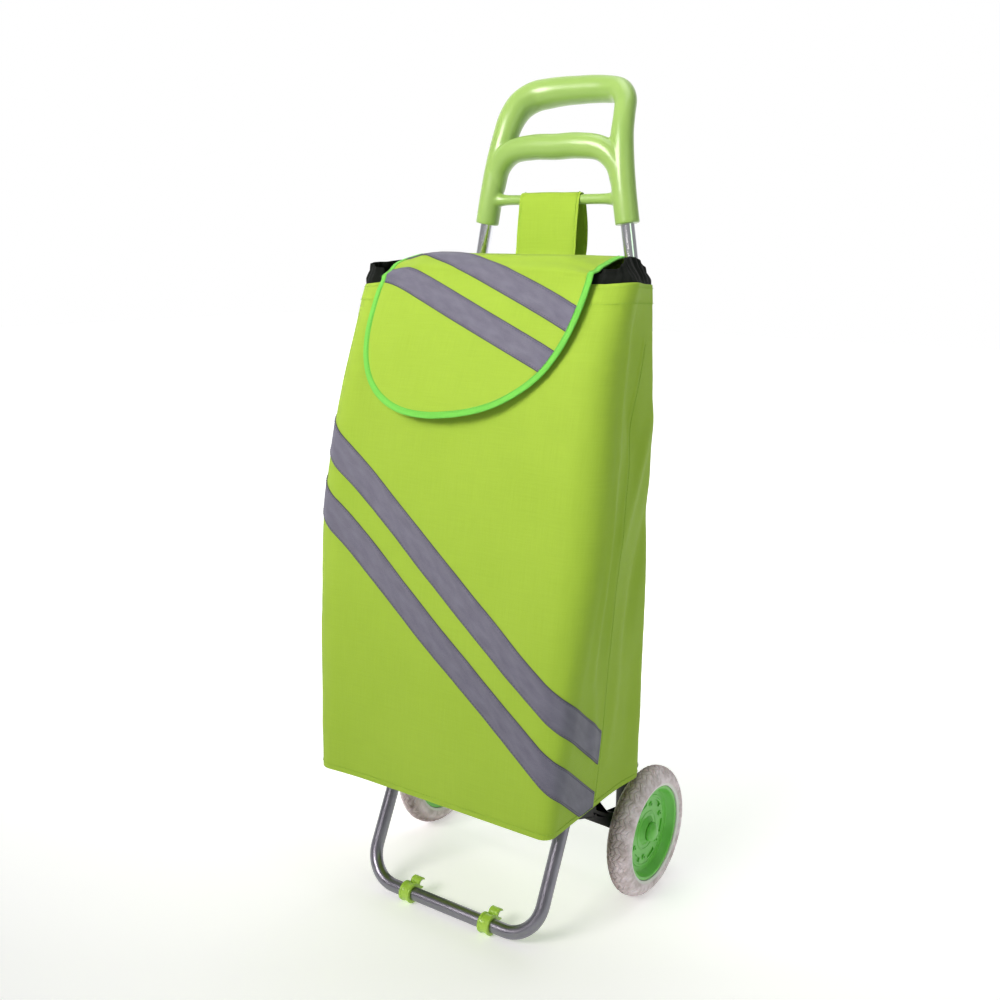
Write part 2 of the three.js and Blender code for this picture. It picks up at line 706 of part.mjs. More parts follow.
// ---- straps ---------------------------------------------------------------------------------
// The carrying strap is sewn to the bag's back, and loops over the handle's slim bar.
function addStraps() {
  const line = [
    [-34.2, 705], [-34.2, 742], [-30, 756], [-13, 775], [1, 806], [4.5, 826], [6.5, 834], [13, 837.6],
    [19.5, 834], [21.5, 826], [17, 806], [2, 775], [-17, 752], [-30.6, 738], [-31.4, 705],
  ];
  const thickness = 1.4;
  const outer = [];
  const inner = [];
  line.forEach(([y, z], i) => {
    const [py, pz] = line[Math.max(i - 1, 0)];
    const [ny, nz] = line[Math.min(i + 1, line.length - 1)];
    const across = v2(-(nz - pz), ny - py).normalize().multiplyScalar(thickness / 2);
    outer.push([y + across.x, z + across.y]);
    inner.push([y - across.x, z - across.y]);
  });
  addPart('carry_strap', plateX([...outer, ...inner.reverse()], -strapHalfWidth, strapHalfWidth), limeFabric);

  // Two webbing loops tie the bag's back to the cross tube.
  const loopX = 80;
  const loopHalf = 12;
  const y0 = bagAt(crossTubeHeight).back + 0.8;
  const tubeY = leanY(crossTubeHeight);
  const stadium = (radius, start) => {
    const points = [[start, crossTubeHeight + radius]];
    points.push([start, crossTubeHeight - radius]);
    for (let a = -90; a <= 90; a += 18) {
      points.push([tubeY + radius * Math.cos(radians(a)), crossTubeHeight + radius * Math.sin(radians(a))]);
    }
    return points;
  };
  const band = plateX(stadium(crossTubeRadius + 2, y0), loopX - loopHalf, loopX + loopHalf);
  const hollow = plateX(stadium(crossTubeRadius + 0.5, y0 + 1.5), loopX - loopHalf - 2, loopX + loopHalf + 2);
  addPair('rear_tie', shaped([band], [hollow]), limeFabric);
}

addWheels();
addBrackets();
addUprights();
addHandle();
addFoot();
addBag();
addPart('bag_tape_upper', bagTape(444), greyTape);
addPart('bag_tape_lower', bagTape(371), greyTape);
addFlap();
addStraps();

// The box runs from the bag's lower front edge to the back of the wheels.
trolley.position.y = (-bagLevels[0].front - wheelRadius) / 2;

export default trolley;
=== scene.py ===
"""The finished look of a two-wheeled shopping trolley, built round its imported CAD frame.

Shapes are worked out in millimetres from the axle's centre line (x across, y to the back, z up from
the floor), as in the CAD, and put into the row frame in metres when a mesh is made.
"""

import json
import math
from functools import partial

import bmesh
import bpy
import numpy as np
from mathutils import Matrix, Vector, noise


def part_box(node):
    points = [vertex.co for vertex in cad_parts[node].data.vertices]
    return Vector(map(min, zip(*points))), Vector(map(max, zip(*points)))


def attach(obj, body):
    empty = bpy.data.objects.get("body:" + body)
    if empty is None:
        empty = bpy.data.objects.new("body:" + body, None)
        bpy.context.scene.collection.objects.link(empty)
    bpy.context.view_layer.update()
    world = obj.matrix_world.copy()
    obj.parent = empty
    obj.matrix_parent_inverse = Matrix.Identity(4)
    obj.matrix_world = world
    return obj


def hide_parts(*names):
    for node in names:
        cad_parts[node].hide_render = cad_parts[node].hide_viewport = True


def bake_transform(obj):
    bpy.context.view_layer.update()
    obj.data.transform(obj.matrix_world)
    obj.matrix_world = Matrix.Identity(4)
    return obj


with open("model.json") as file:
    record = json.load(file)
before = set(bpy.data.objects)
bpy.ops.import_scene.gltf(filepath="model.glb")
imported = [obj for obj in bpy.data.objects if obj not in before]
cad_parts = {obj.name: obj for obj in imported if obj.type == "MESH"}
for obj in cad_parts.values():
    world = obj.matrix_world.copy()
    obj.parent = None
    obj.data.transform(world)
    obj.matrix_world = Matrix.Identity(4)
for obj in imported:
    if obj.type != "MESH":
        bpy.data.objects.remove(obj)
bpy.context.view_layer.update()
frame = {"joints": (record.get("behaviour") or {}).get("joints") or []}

MM = 0.001
AXLE_Y = (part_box("axle")[0].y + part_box("axle")[1].y) / 2 / MM
SIDES = (("right", 1), ("left", -1))
RIM_RADIUS = 58


# ---- places in the frame ----------------------------------------------------------------------
def in_row(points):
    """Millimetres from the axle's centre line, as metres in the row frame."""
    return (np.asarray(points, float) + (0, AXLE_Y, 0)) * MM


def in_mm(point):
    """A place in the row frame, as millimetres from the axle's centre line."""
    return np.array(point, float) / MM - (0, AXLE_Y, 0)


def box_mm(node):
    low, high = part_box(node)
    return in_mm(low), in_mm(high)


def joint_mm(name):
    return in_mm(next(j["pos_m"] for j in frame["joints"] if j["name"] == name))


WHEEL_X = joint_mm("wheel_right_spin")[0]
WHEEL_RADIUS = joint_mm("wheel_right_spin")[2]


# ---- camera, light and stage ------------------------------------------------------------------
BEHIND = (-0.57, 0.82, 0)               # the way from the front right corner to the white backdrop


def look(azimuth, pitch, roll):
    """A camera's axes: the angle round from the front, the angle down, and the lean, in degrees."""
    a, e, r = (math.radians(x) for x in (azimuth, pitch, roll))
    ahead = Vector((-math.sin(a) * math.cos(e), math.cos(a) * math.cos(e), -math.sin(e)))
    right = Vector((math.cos(a), math.sin(a), 0))
    up = right.cross(ahead)
    leaned_right = right * math.cos(r) + up * math.sin(r)
    leaned_up = up * math.cos(r) - right * math.sin(r)
    return Matrix((leaned_right, leaned_up, -ahead)).transposed()


def add_camera():
    data = bpy.data.cameras.new("camera")
    data.sensor_width = 36
    data.lens = 42.09
    camera = bpy.data.objects.new("camera", data)
    bpy.context.scene.collection.objects.link(camera)
    camera.matrix_world = look(34.77, 12.22, 0.74).to_4x4()
    camera.location = (0.7567, -1.1083, 0.7744)
    bpy.context.scene.camera = camera


def add_light(name, place, target, size, watts, colour=(1, 1, 1)):
    data = bpy.data.lights.new(name, "AREA")
    data.shape = "RECTANGLE"
    data.size, data.size_y = size
    data.energy = watts
    data.color = colour
    light = bpy.data.objects.new(name, data)
    bpy.context.scene.collection.objects.link(light)
    light.location = place
    light.rotation_mode = "QUATERNION"
    light.rotation_quaternion = (Vector(target) - Vector(place)).to_track_quat("-Z", "Y")
    return data


def add_studio():
    add_light("key", (-0.5, -2.15, 2.0), (0, 0, 1.0), (1.4, 1.4), 9.9, (1, 0.93, 0.93)).spread = 0.8
    add_light("side", (2.2, -0.6, 1.7), (0, 0, 0.5), (0.8, 1.4), 5.4, (0.70, 1, 0.64))
    add_light("top", (0.1, 0.3, 2.4), (0, 0, 0.5), (1.4, 1.0), 10)
    bpy.context.scene.view_settings.view_transform = "Standard"

    # The room is grey, with a white backdrop behind the trolley.
    world = bpy.data.worlds.new("studio")
    bpy.context.scene.world = world
    world.use_nodes = True
    nodes, links = world.node_tree.nodes, world.node_tree.links
    place = nodes.new("ShaderNodeTexCoord")
    facing = nodes.new("ShaderNodeVectorMath")
    facing.operation = "DOT_PRODUCT"
    facing.inputs[1].default_value = BEHIND
    links.new(place.outputs["Generated"], facing.inputs[0])
    spread = nodes.new("ShaderNodeMapRange")
    for socket, value in (("From Min", 0.45), ("From Max", 0.7), ("To Min", 0.30), ("To Max", 1.0)):
        spread.inputs[socket].default_value = value
    links.new(facing.outputs["Value"], spread.inputs["Value"])
    links.new(spread.outputs["Result"], nodes["Background"].inputs["Strength"])
    nodes["Background"].inputs["Color"].default_value = (1, 1, 1, 1)

    mesh = bpy.data.meshes.new("floor")
    half = 9
    corners = [(-half, -half, 0), (half, -half, 0), (half, half, 0), (-half, half, 0)]
    mesh.from_pydata(corners, [], [(0, 1, 2, 3)])
    floor = bpy.data.objects.new("floor", mesh)
    bpy.context.scene.collection.objects.link(floor)
    paint = Paint("studio_floor", Roughness=0.9, Emission_Color=(1, 1, 1, 1))
    tone = paint.noise(paint.place(), 3, 3)
    behind = paint.node("VectorMath", {0: paint.place(), 1: BEHIND}, operation="DOT_PRODUCT")
    glow = paint.ramp(behind.outputs["Value"], -0.2, 1.3, 0.25, 0.85)
    paint.tree.links.new(glow, paint.shader.inputs["Emission Strength"])
    paint.colour(paint.blend(tone, (0.93, 0.93, 0.93), (0.95, 0.95, 0.95)))
    mesh.materials.append(paint.material)


# ---- materials --------------------------------------------------------------------------------
class Paint:
    """A material whose Principled shader is fed by procedural nodes."""

    def __init__(self, name, **sockets):
        self.material = bpy.data.materials.new(name)
        self.material.use_nodes = True
        self.tree = self.material.node_tree
        self.shader = self.tree.nodes["Principled BSDF"]
        for socket, value in sockets.items():
            self.shader.inputs[socket.replace("_", " ")].default_value = value

    def node(self, kind, inputs, **settings):
        made = self.tree.nodes.new("ShaderNode" + kind)
        for key, value in settings.items():
            setattr(made, key, value)
        for socket, value in inputs.items():
            if isinstance(value, bpy.types.NodeSocket):
                self.tree.links.new(value, made.inputs[socket])
            else:
                made.inputs[socket].default_value = value
        return made

    def place(self):
        """Where a point is on its own mesh, in metres."""
        return self.node("TexCoord", {}).outputs["Object"]

    def cloth(self):
        """Where a point is on the cloth that it was cut from, in metres."""
        return self.node("UVMap", {}, uv_map="cloth").outputs["UV"]

    def scaled(self, vector, x, y, z=1):
        return self.node("VectorMath", {0: vector, 1: (x, y, z)}, operation="MULTIPLY").outputs[0]

    def split(self, vector):
        return self.node("SeparateXYZ", {0: vector}).outputs

    def math(self, operation, a, b=0.0):
        return self.node("Math", {0: a, 1: b}, operation=operation).outputs[0]

    def noise(self, vector, scale, detail=2, roughness=0.5):
        inputs = {"Vector": vector, "Scale": scale, "Detail": detail, "Roughness": roughness}
        return self.node("TexNoise", inputs).outputs["Fac"]

    def ramp(self, value, low, high, out_low=0.0, out_high=1.0):
        inputs = {"Value": value, "From Min": low, "From Max": high, "To Min": out_low, "To Max": out_high}
        return self.node("MapRange", inputs).outputs["Result"]

    def blend(self, factor, a, b):
        made = self.node("Mix", {}, data_type="RGBA")
        for socket, value in ((made.inputs["Factor"], factor), (made.inputs[6], a), (made.inputs[7], b)):
            if isinstance(value, bpy.types.NodeSocket):
                self.tree.links.new(value, socket)
            elif isinstance(value, tuple):
                socket.default_value = (*value, 1)
            else:
                socket.default_value = value
        return made.outputs[2]

    def colour(self, value):
        self.tree.links.new(value, self.shader.inputs["Base Color"])

    def roughness(self, value):
        self.tree.links.new(value, self.shader.inputs["Roughness"])

    def bump(self, height, depth, strength=1.0):
        """Raises the surface by depth metres where the height is 1. Later bumps lie on earlier ones."""
        inputs = {"Strength": strength, "Distance": depth, "Height": height}
        normal = self.shader.inputs["Normal"]
        if normal.is_linked:
            inputs["Normal"] = normal.links[0].from_socket
        self.tree.links.new(self.node("Bump", inputs).outputs["Normal"], normal)


def woven(name, colour, shade, thread=0.9, sheen=0.03, rough=0.62, relief=0.14, shine=0.12):
    """Plain weave: warp over weft in turn, with uneven threads and a slow drift of tone over the cloth."""
    paint = Paint(name, Roughness=rough, Sheen_Weight=sheen, Sheen_Roughness=0.5, Specular_IOR_Level=shine)
    cloth = paint.cloth()
    turns = math.pi / (thread * MM)
    across, along = paint.split(paint.scaled(cloth, turns, turns))[:2]
    warp = paint.math("ABSOLUTE", paint.math("SINE", across))
    weft = paint.math("ABSOLUTE", paint.math("SINE", along))
    cells = paint.node("TexChecker", {"Vector": cloth, "Scale": 1 / (thread * MM)}).outputs["Fac"]
    height = paint.math("ADD", paint.math("MULTIPLY", warp, cells),
                        paint.math("MULTIPLY", weft, paint.math("SUBTRACT", 1.0, cells)))
    uneven_warp = paint.noise(paint.scaled(cloth, 900, 24), 1, 2)
    uneven_weft = paint.noise(paint.scaled(cloth, 24, 900), 1, 2)
    uneven = paint.math("ADD", uneven_warp, uneven_weft)
    drift = paint.noise(paint.place(), 9, 3)
    tone = paint.ramp(paint.math("ADD", paint.ramp(height, 0, 1, 0, 0.35),
                                 paint.math("ADD", uneven, drift)), 0.9, 2.35)
    paint.colour(paint.blend(tone, shade, colour))
    paint.roughness(paint.ramp(uneven, 0.6, 1.4, rough - 0.08, rough + 0.1))
    paint.bump(height, relief * MM)
    paint.bump(paint.math("MULTIPLY", uneven, 0.5), 0.25 * MM)
    paint.bump(paint.noise(paint.place(), 34, 3, 0.55), 0.9 * MM, 0.55)
    return paint.material


def ribbed_tape(half_width):
    """Grey reflective tape with fine lengthwise ribs, bead sparkle and dark turned edges."""
    paint = Paint("grey_tape", Roughness=0.55, Specular_IOR_Level=0.25)
    cloth = paint.cloth()
    across = paint.math("ABSOLUTE", paint.split(cloth)[1])
    edge = paint.ramp(across, (half_width - 1.4) * MM, (half_width - 0.5) * MM)
    ribs = paint.math("ABSOLUTE", paint.math("SINE", paint.math("MULTIPLY", paint.split(cloth)[1], 4200)))
    beads = paint.noise(paint.scaled(cloth, 1400, 1400), 1, 1)
    drift = paint.noise(paint.scaled(cloth, 40, 120), 1, 3)
    base = paint.blend(paint.ramp(drift, 0.3, 0.7), (0.112, 0.110, 0.150), (0.152, 0.150, 0.195))
    speckled = paint.blend(paint.ramp(beads, 0.45, 0.75, 0, 0.35), base, (0.24, 0.235, 0.29))
    paint.colour(paint.blend(edge, speckled, (0.06, 0.058, 0.075)))
    paint.roughness(paint.ramp(beads, 0.3, 0.7, 0.42, 0.6))
    paint.bump(ribs, 0.1 * MM)
    paint.bump(beads, 0.12 * MM)
    return paint.material


def moulded(name, colour, shade, rough, grain=0.02, coat=0.0, wear=0.06):
    """Moulded plastic: slow change of tone, faint flow marks, fine grain and handling scuffs."""
    paint = Paint(name, Roughness=rough, Coat_Weight=coat, Coat_Roughness=0.08, Specular_IOR_Level=0.5)
    place = paint.place()
    drift = paint.noise(place, 14, 4)
    flow = paint.noise(paint.scaled(place, 12, 60, 25), 1, 3)
    tone = paint.ramp(paint.math("ADD", drift, flow), 0.7, 1.3)
    paint.colour(paint.blend(tone, shade, colour))
    scuff = paint.noise(paint.scaled(place, 90, 420, 180), 1, 4, 0.65)
    paint.roughness(paint.ramp(scuff, 0.4, 0.75, rough, rough + wear))
    paint.bump(paint.noise(place, 900, 2), grain * MM)
    paint.bump(flow, 0.12 * MM, 0.5)
    return paint.material


def plated(name, colour, shade, rough, draw=0.012, smear=0.12):
    """Plated steel: fine draw lines along the tube, small stains and uneven polish."""
    paint = Paint(name, Metallic=1.0, Roughness=rough)
    place = paint.place()
    lines = paint.noise(paint.scaled(place, 1300, 1300, 60), 1, 3, 0.6)
    cloud = paint.noise(place, 22, 4, 0.6)
    paint.colour(paint.blend(paint.ramp(cloud, 0.3, 0.7), shade, colour))
    paint.roughness(paint.ramp(paint.math("ADD", lines, cloud), 0.7, 1.35, rough, rough + smear))
    paint.bump(lines, draw * MM)
    return paint.material


def foam(name):
    """Moulded tyre foam: pinkish grey skin, fine pores, and brown darkening on the tread's inner side, which
    is painted shade together with some dust.
    """
    paint = Paint(name, Roughness=0.78, Specular_IOR_Level=0.25, Subsurface_Weight=0.06,
                  Subsurface_Scale=0.004)
    place = paint.place()
    x, y, z = paint.split(place)[:3]
    up = paint.math("SUBTRACT", z, WHEEL_RADIUS * MM)
    back = paint.math("SUBTRACT", y, AXLE_Y * MM)
    radius = paint.math("POWER", paint.math("ADD", paint.math("MULTIPLY", up, up),
                                            paint.math("MULTIPLY", back, back)), 0.5)
    inner = paint.ramp(paint.math("ABSOLUTE", x), (WHEEL_X + 6) * MM, (WHEEL_X - 5) * MM)
    tread = paint.ramp(radius, (WHEEL_RADIUS - 12) * MM, (WHEEL_RADIUS - 4) * MM)
    cloud = paint.noise(place, 75, 4, 0.65)
    # Painted shade with dust: the tread's inner side, which faces the bag, is darkened towards brown where
    # the cloud allows.
    painted_shade_and_dust = paint.math("MULTIPLY", paint.math("MULTIPLY", inner, tread), paint.ramp(cloud, 0.36, 0.6, 0.35, 1))
    skin = paint.blend(paint.ramp(cloud, 0.4, 0.64), (0.54, 0.46, 0.47), (0.78, 0.69, 0.735))
    ring = paint.ramp(radius, (RIM_RADIUS + 4.5) * MM, (RIM_RADIUS + 2.5) * MM)
    ringed = paint.blend(ring, skin, (0.74, 0.73, 0.70))
    paint.colour(paint.blend(painted_shade_and_dust, ringed, (0.22, 0.175, 0.16)))
    paint.bump(paint.noise(place, 700, 3), 0.12 * MM)
    paint.bump(paint.noise(place, 120, 3), 0.5 * MM, 0.6)
    return paint.material


def pressed_board():
    paint = Paint("hardboard", Roughness=0.82)
    place = paint.place()
    fibres = paint.noise(paint.scaled(place, 300, 900, 300), 1, 5, 0.7)
    paint.colour(paint.blend(paint.ramp(fibres, 0.3, 0.7), (0.10, 0.058, 0.032), (0.21, 0.135, 0.08)))
    paint.bump(fibres, 0.2 * MM)
    return paint.material


# ---- meshes -----------------------------------------------------------------------------------
class Skin:
    """Grids of points that become one mesh, with a cloth coordinate at each corner of each face."""

    def __init__(self):
        self.points, self.faces, self.cloth, self.count = [], [], [], 0

    def grid(self, points, cloth=None, wrap=False):
        """Faces between neighbouring points. With wrap, the last column joins the first one."""
        rows, columns = points.shape[:2]
        r = np.arange(rows - 1)[:, None]
        c = np.arange(columns if wrap else columns - 1)[None, :]
        onward = (c + 1) % columns
        corners = [r * columns + c, r * columns + onward, (r + 1) * columns + onward, (r + 1) * columns + c]
        self.faces.append(np.stack(np.broadcast_arrays(*corners), -1).reshape(-1, 4) + self.count)
        if cloth is None:
            cloth = np.zeros((rows, columns + 1, 2))
        places = [cloth[r, c], cloth[r, c + 1], cloth[r + 1, c + 1], cloth[r + 1, c]]
        self.cloth.append(np.stack(places, 2).reshape(-1, 2))
        self.points.append(points.reshape(-1, 3))
        self.count += rows * columns
        return self

    def made(self, name, material, crease=38):
        """The object: doubled points merged, faces turned outwards, edges sharper than crease kept sharp."""
        mesh = bpy.data.meshes.new(name)
        mesh.from_pydata(in_row(np.concatenate(self.points)).tolist(), [],
                         np.concatenate(self.faces).tolist())
        layer = mesh.uv_layers.new(name="cloth")
        layer.data.foreach_set("uv", np.concatenate(self.cloth).ravel() * MM)
        return finished(name, mesh, material, crease)


def finished(name, mesh, material, crease=38):
    work = bmesh.new()
    work.from_mesh(mesh)
    bmesh.ops.remove_doubles(work, verts=work.verts, dist=0.002 * MM)
    bmesh.ops.recalc_face_normals(work, faces=work.faces)
    work.to_mesh(mesh)
    work.free()
    mesh.materials.append(material)
    mesh.shade_smooth()
    mesh.set_sharp_from_angle(angle=math.radians(crease))
    made = bpy.data.objects.new(name, mesh)
    bpy.context.scene.collection.objects.link(made)
    return made


def solid(rings, name, material, crease=38, cloth=None):
    """A closed piece from its rings of points."""
    return Skin().grid(rings, cloth, wrap=True).made(name, material, crease)


def settle(piece, slot, body, *nodes):
    """Gives a piece its body, and lets it stand for its CAD nodes. The slot is not used."""
    if nodes:
        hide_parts(*nodes)
    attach(piece, body)
    return piece


def unit(vectors):
    return vectors / np.maximum(np.linalg.norm(vectors, axis=-1, keepdims=True), 1e-12)


def smooth_path(corners, step=2.0):
    """A centripetal curve through the corners, with a point about every step millimetres."""
    p = np.asarray(corners, float)
    p = np.vstack([2 * p[0] - p[1], p, 2 * p[-1] - p[-2]])
    found = []
    for a, b, c, d in zip(p, p[1:], p[2:], p[3:]):
        t1 = math.dist(a, b) ** 0.5
        t2 = t1 + math.dist(b, c) ** 0.5
        t3 = t2 + math.dist(c, d) ** 0.5
        t = np.linspace(t1, t2, max(2, round(math.dist(b, c) / step)), endpoint=False)[:, None]
        ab = a + (b - a) * t / t1
        bc = b + (c - b) * (t - t1) / (t2 - t1)
        cd = c + (d - c) * (t - t2) / (t3 - t2)
        abc = ab + (bc - ab) * t / t2
        bcd = bc + (cd - bc) * (t - t1) / (t3 - t1)
        found.append(abc + (bcd - abc) * (t - t1) / (t2 - t1))
    return np.vstack([*found, p[-2]])


def rounded_path(corners, radius, arc_steps=24):
    """A polyline whose inner corners are arcs."""
    corners = np.asarray(corners, float)
    found = [corners[0]]
    for before, here, after in zip(corners, corners[1:], corners[2:]):
        back, ahead = unit(before - here), unit(after - here)
        half = math.acos(np.clip(back @ ahead, -1, 1)) / 2
        centre = here + unit(back + ahead) * radius / math.sin(half)
        start = here + back * radius / math.tan(half) - centre
        end = here + ahead * radius / math.tan(half) - centre
        turn = math.pi - 2 * half
        a = np.linspace(0, turn, arc_steps + 1)[:, None]
        found.extend(centre + (start * np.sin(turn - a) + end * np.sin(a)) / math.sin(turn))
    found.append(corners[-1])
    return np.array(found)


class Spine:
    """A line in space with a steady frame carried along it."""

    def __init__(self, points, side=(0, 0, 1)):
        self.points = np.asarray(points, float)
        gaps = np.linalg.norm(np.diff(self.points, axis=0), axis=1)
        self.along = np.concatenate([[0], np.cumsum(gaps)])
        self.length = self.along[-1]
        self.tangents = unit(np.gradient(self.points, self.along, axis=0))
        normal = np.asarray(side, float)
        normals = []
        for tangent in self.tangents:
            normal = unit(normal - tangent * (normal @ tangent))
            normals.append(normal)
        self.normals = np.array(normals)

    def at(self, along, values):
        return np.stack([np.interp(along, self.along, values[:, k]) for k in range(3)], -1)

    def sweep(self, along, radii, sides=32):
        """Rings of points at places along the line."""
        centre = self.at(along, self.points)
        tangent = unit(self.at(along, self.tangents))
        normal = unit(self.at(along, self.normals))
        other = np.cross(tangent, normal)
        a = np.linspace(0, 2 * math.pi, sides, endpoint=False)
        spokes = normal[:, None] * np.cos(a)[None, :, None] + other[:, None] * np.sin(a)[None, :, None]
        return centre[:, None] + spokes * np.broadcast_to(radii, len(along))[:, None, None]


def tube(points, radius, wall=1.2, sides=40, side=(0, 0, 1), step=4.0):
    """A hollow tube's rings: out of its open start, along the outside, and in at its open end."""
    spine = Spine(points, side)
    depth, edge = 12, 0.3
    inner = radius - wall
    run = np.linspace(edge, spine.length - edge, max(3, int(spine.length / step)))
    along = np.concatenate([[depth, depth, 0, 0], run, [spine.length] * 2, [spine.length - depth] * 2])
    radii = np.concatenate([[0, inner, inner, radius - edge], np.full(len(run), radius),
                            [radius - edge, inner, inner, 0]])
    return spine.sweep(along, radii, sides)


def turned(profile, x, y, z, segments=64, sign=1):
    """Rings of a shape turned about an axis along X. The profile holds (distance along X, radius)."""
    profile = np.asarray(profile, float)
    a = np.linspace(0, 2 * math.pi, segments, endpoint=False)
    rings = np.empty((len(profile), segments, 3))
    rings[..., 0] = x + sign * profile[:, :1]
    rings[..., 1] = y + profile[:, 1:] * np.cos(a)
    rings[..., 2] = z + profile[:, 1:] * np.sin(a)
    return rings


def chamfered(profile, edge=0.4):
    """A closed profile whose corners are cut back a little, so that edges catch the light."""
    p = np.asarray(profile, float)
    found = []
    for before, here, after in zip(np.roll(p, 1, 0), p, np.roll(p, -1, 0)):
        for other in (before, after):
            reach = min(edge, 0.4 * math.dist(here, other))
            found.append(here + unit(other - here) * reach)
    return np.array(found + [found[0]])


def eased_rod(half, radius, edge):
    """The profile of a round rod along X whose end edges are cut back."""
    return [(-half, 0), (-half, radius - edge), (edge - half, radius), (half - edge, radius),
            (half, radius - edge), (half, 0)]


def combined(target, others, operation):
    """Cuts the others from the target, or joins them to it, and removes them."""
    for other in others:
        modifier = target.modifiers.new("shape", "BOOLEAN")
        modifier.operation = operation
        modifier.solver = "MANIFOLD"
        modifier.object = other
        applied(target)
        bpy.data.objects.remove(other)
    return target


def applied(target):
    """Applies a piece's modifiers to its mesh."""
    graph = bpy.context.evaluated_depsgraph_get()
    mesh = bpy.data.meshes.new_from_object(target.evaluated_get(graph))
    target.modifiers.clear()
    old, target.data = target.data, mesh
    mesh.name = target.name
    bpy.data.meshes.remove(old)
    return target


def shaded(piece, crease):
    """Smooth shading for a cut piece, with its edges sharper than crease kept sharp."""
    piece.data.shade_smooth()
    piece.data.set_sharp_from_angle(angle=math.radians(crease))
    return piece


def outline_plate(outline, x0, x1, edge=1.0):
    """Rings of a flat plate across X from an outline in the side plane, with its rims eased."""
    outline = np.asarray(outline, float)
    inward = unit(np.roll(outline, -1, 0) - np.roll(outline, 1, 0))[:, ::-1] * (-1, 1)
    rings = []
    for x, inset in ((x0, edge), (x0 + edge, 0), (x1 - edge, 0), (x1, edge)):
        flat = outline + inward * inset
        rings.append(np.column_stack([np.full(len(flat), x), flat]))
    first, last = (np.tile(rings[end].mean(0), (len(outline), 1)) for end in (0, -1))
    return np.array([first, *rings, last])


# ---- stitching --------------------------------------------------------------------------------
def stitches(skin, path, normals, pitch=4.2, length=3.0, radius=0.42, sink=0.1):
    """Adds short thread loops along a line that lies on a surface."""
    spine = Spine(path)
    count = int(spine.length / pitch)
    if count < 1:
        return
    middles = (np.arange(count) + 0.5) * spine.length / count
    spans = np.array([-0.5, -0.42, -0.2, 0.2, 0.42, 0.5]) * length
    heights = np.array([-0.8, 0.35, 1, 1, 0.35, -0.8]) * radius
    sizes = np.array([0.0, 0.75, 1, 1, 0.75, 0.0]) * radius
    a = np.linspace(0, 2 * math.pi, 5, endpoint=False)
    for middle in middles:
        centre = spine.at(middle + spans, spine.points)
        tangent = unit(spine.at(middle, spine.tangents))
        normal = spine.at(middle, np.asarray(normals, float))
        normal = unit(normal - tangent * (normal @ tangent))
        other = np.cross(tangent, normal)
        centre = centre + normal * (heights - sink)[:, None]
        spokes = normal * np.cos(a)[:, None] + other * np.sin(a)[:, None]
        skin.grid(centre[:, None] + spokes[None] * sizes[:, None, None], wrap=True)


# ---- the bag ----------------------------------------------------------------------------------
# Each level of the bag: height, front, back, half width in front and behind, and front corner radius.
BAG_LEVELS = np.array([
    (163, -228, -24, 161, 156, 14),
    (250, -222.5, -28, 168, 159, 25),
    (350, -216, -33, 176, 162, 31),
    (450, -203, -35, 184, 163, 33),
    (560, -186, -37, 182, 164, 34),
    (640, -169, -38, 176, 163, 32),
    (700, -147, -37.5, 175, 162, 29),
    (738, -125, -37, 175, 161, 26),
], float)
BACK_CORNER = 14
BAG_BOTTOM, RIM = BAG_LEVELS[0, 0], BAG_LEVELS[-1, 0]
CLOTH = 1.3
SEAM = 250                              # from the middle of the front round to each side seam
BAG_TAPE_TOPS = {"upper": 444, "lower": 371}
BAG_TAPE_SLOPE, BAG_TAPE_HEIGHT = 0.75, 41
# Soft folds in the bag's cloth: from one place to another, as (distance round, height), then the
# half width and the rise. A negative rise is a hollow.
BAG_FOLDS = (
    (196, 735, 214, 560, 8, 3.8),
    (214, 560, 216, 330, 8, 4.4),
    (214, 330, 236, 230, 10, 2.8),
    (172, 360, 157, 165, 7, 1.6),
    (226, 640, 262, 560, 15, -5.2),
    (237, 560, 233, 330, 13, -4.8),
    (300, 600, 262, 470, 12, 4.2),
    (330, 520, 285, 330, 14, -4.4),
    (282, 420, 272, 215, 12, 3.4),
    (318, 330, 322, 190, 14, -2.8),
    (205, 710, 235, 650, 14, -2.6),
    (-196, 735, -212, 540, 12, 2.8),
    (-212, 540, -206, 330, 14, 3.0),
    (-172, 340, -157, 165, 7, 1.6),
    (-236, 620, -262, 420, 18, -4.0),
    (-300, 580, -270, 330, 17, 2.8),
    (-330, 480, -300, 250, 19, -3.0),
    (60, 590, 130, 470, 30, -2.2),
    (-20, 560, 90, 500, 26, 1.5),
    (-120, 560, -60, 380, 32, -1.6),
    (-140, 300, -60, 200, 30, 1.4),
    (20, 330, 110, 215, 30, -1.5),
    (130, 420, 90, 300, 26, 1.3),
    (-150, 700, -120, 590, 20, -1.6),
    (-130, 230, -146, 168, 14, 1.2),
    (420, 680, 450, 420, 34, -2.4),
    (-430, 640, -470, 330, 34, -2.2),
    (380, 330, 470, 210, 30, 1.8),
    (-390, 300, -450, 200, 30, 1.6),
)


def bag_at(z):
    """Front, back, both half widths and the corner radius of the bag at each height."""
    heights, values = BAG_LEVELS[:, 0], BAG_LEVELS[:, 1:]
    slopes = np.gradient(values, heights, axis=0)
    z = np.clip(np.asarray(z, float), heights[0], heights[-1])
    i = np.clip(np.searchsorted(heights, z, side="right") - 1, 0, len(heights) - 2)
    span = (heights[i + 1] - heights[i])[..., None]
    t = ((z - heights[i])[..., None]) / span
    lower = (2 * t**3 - 3 * t**2 + 1) * values[i] + (t**3 - 2 * t**2 + t) * span * slopes[i]
    upper = (3 * t**2 - 2 * t**3) * values[i + 1] + (t**3 - t**2) * span * slopes[i + 1]
    return np.moveaxis(lower + upper, -1, 0)


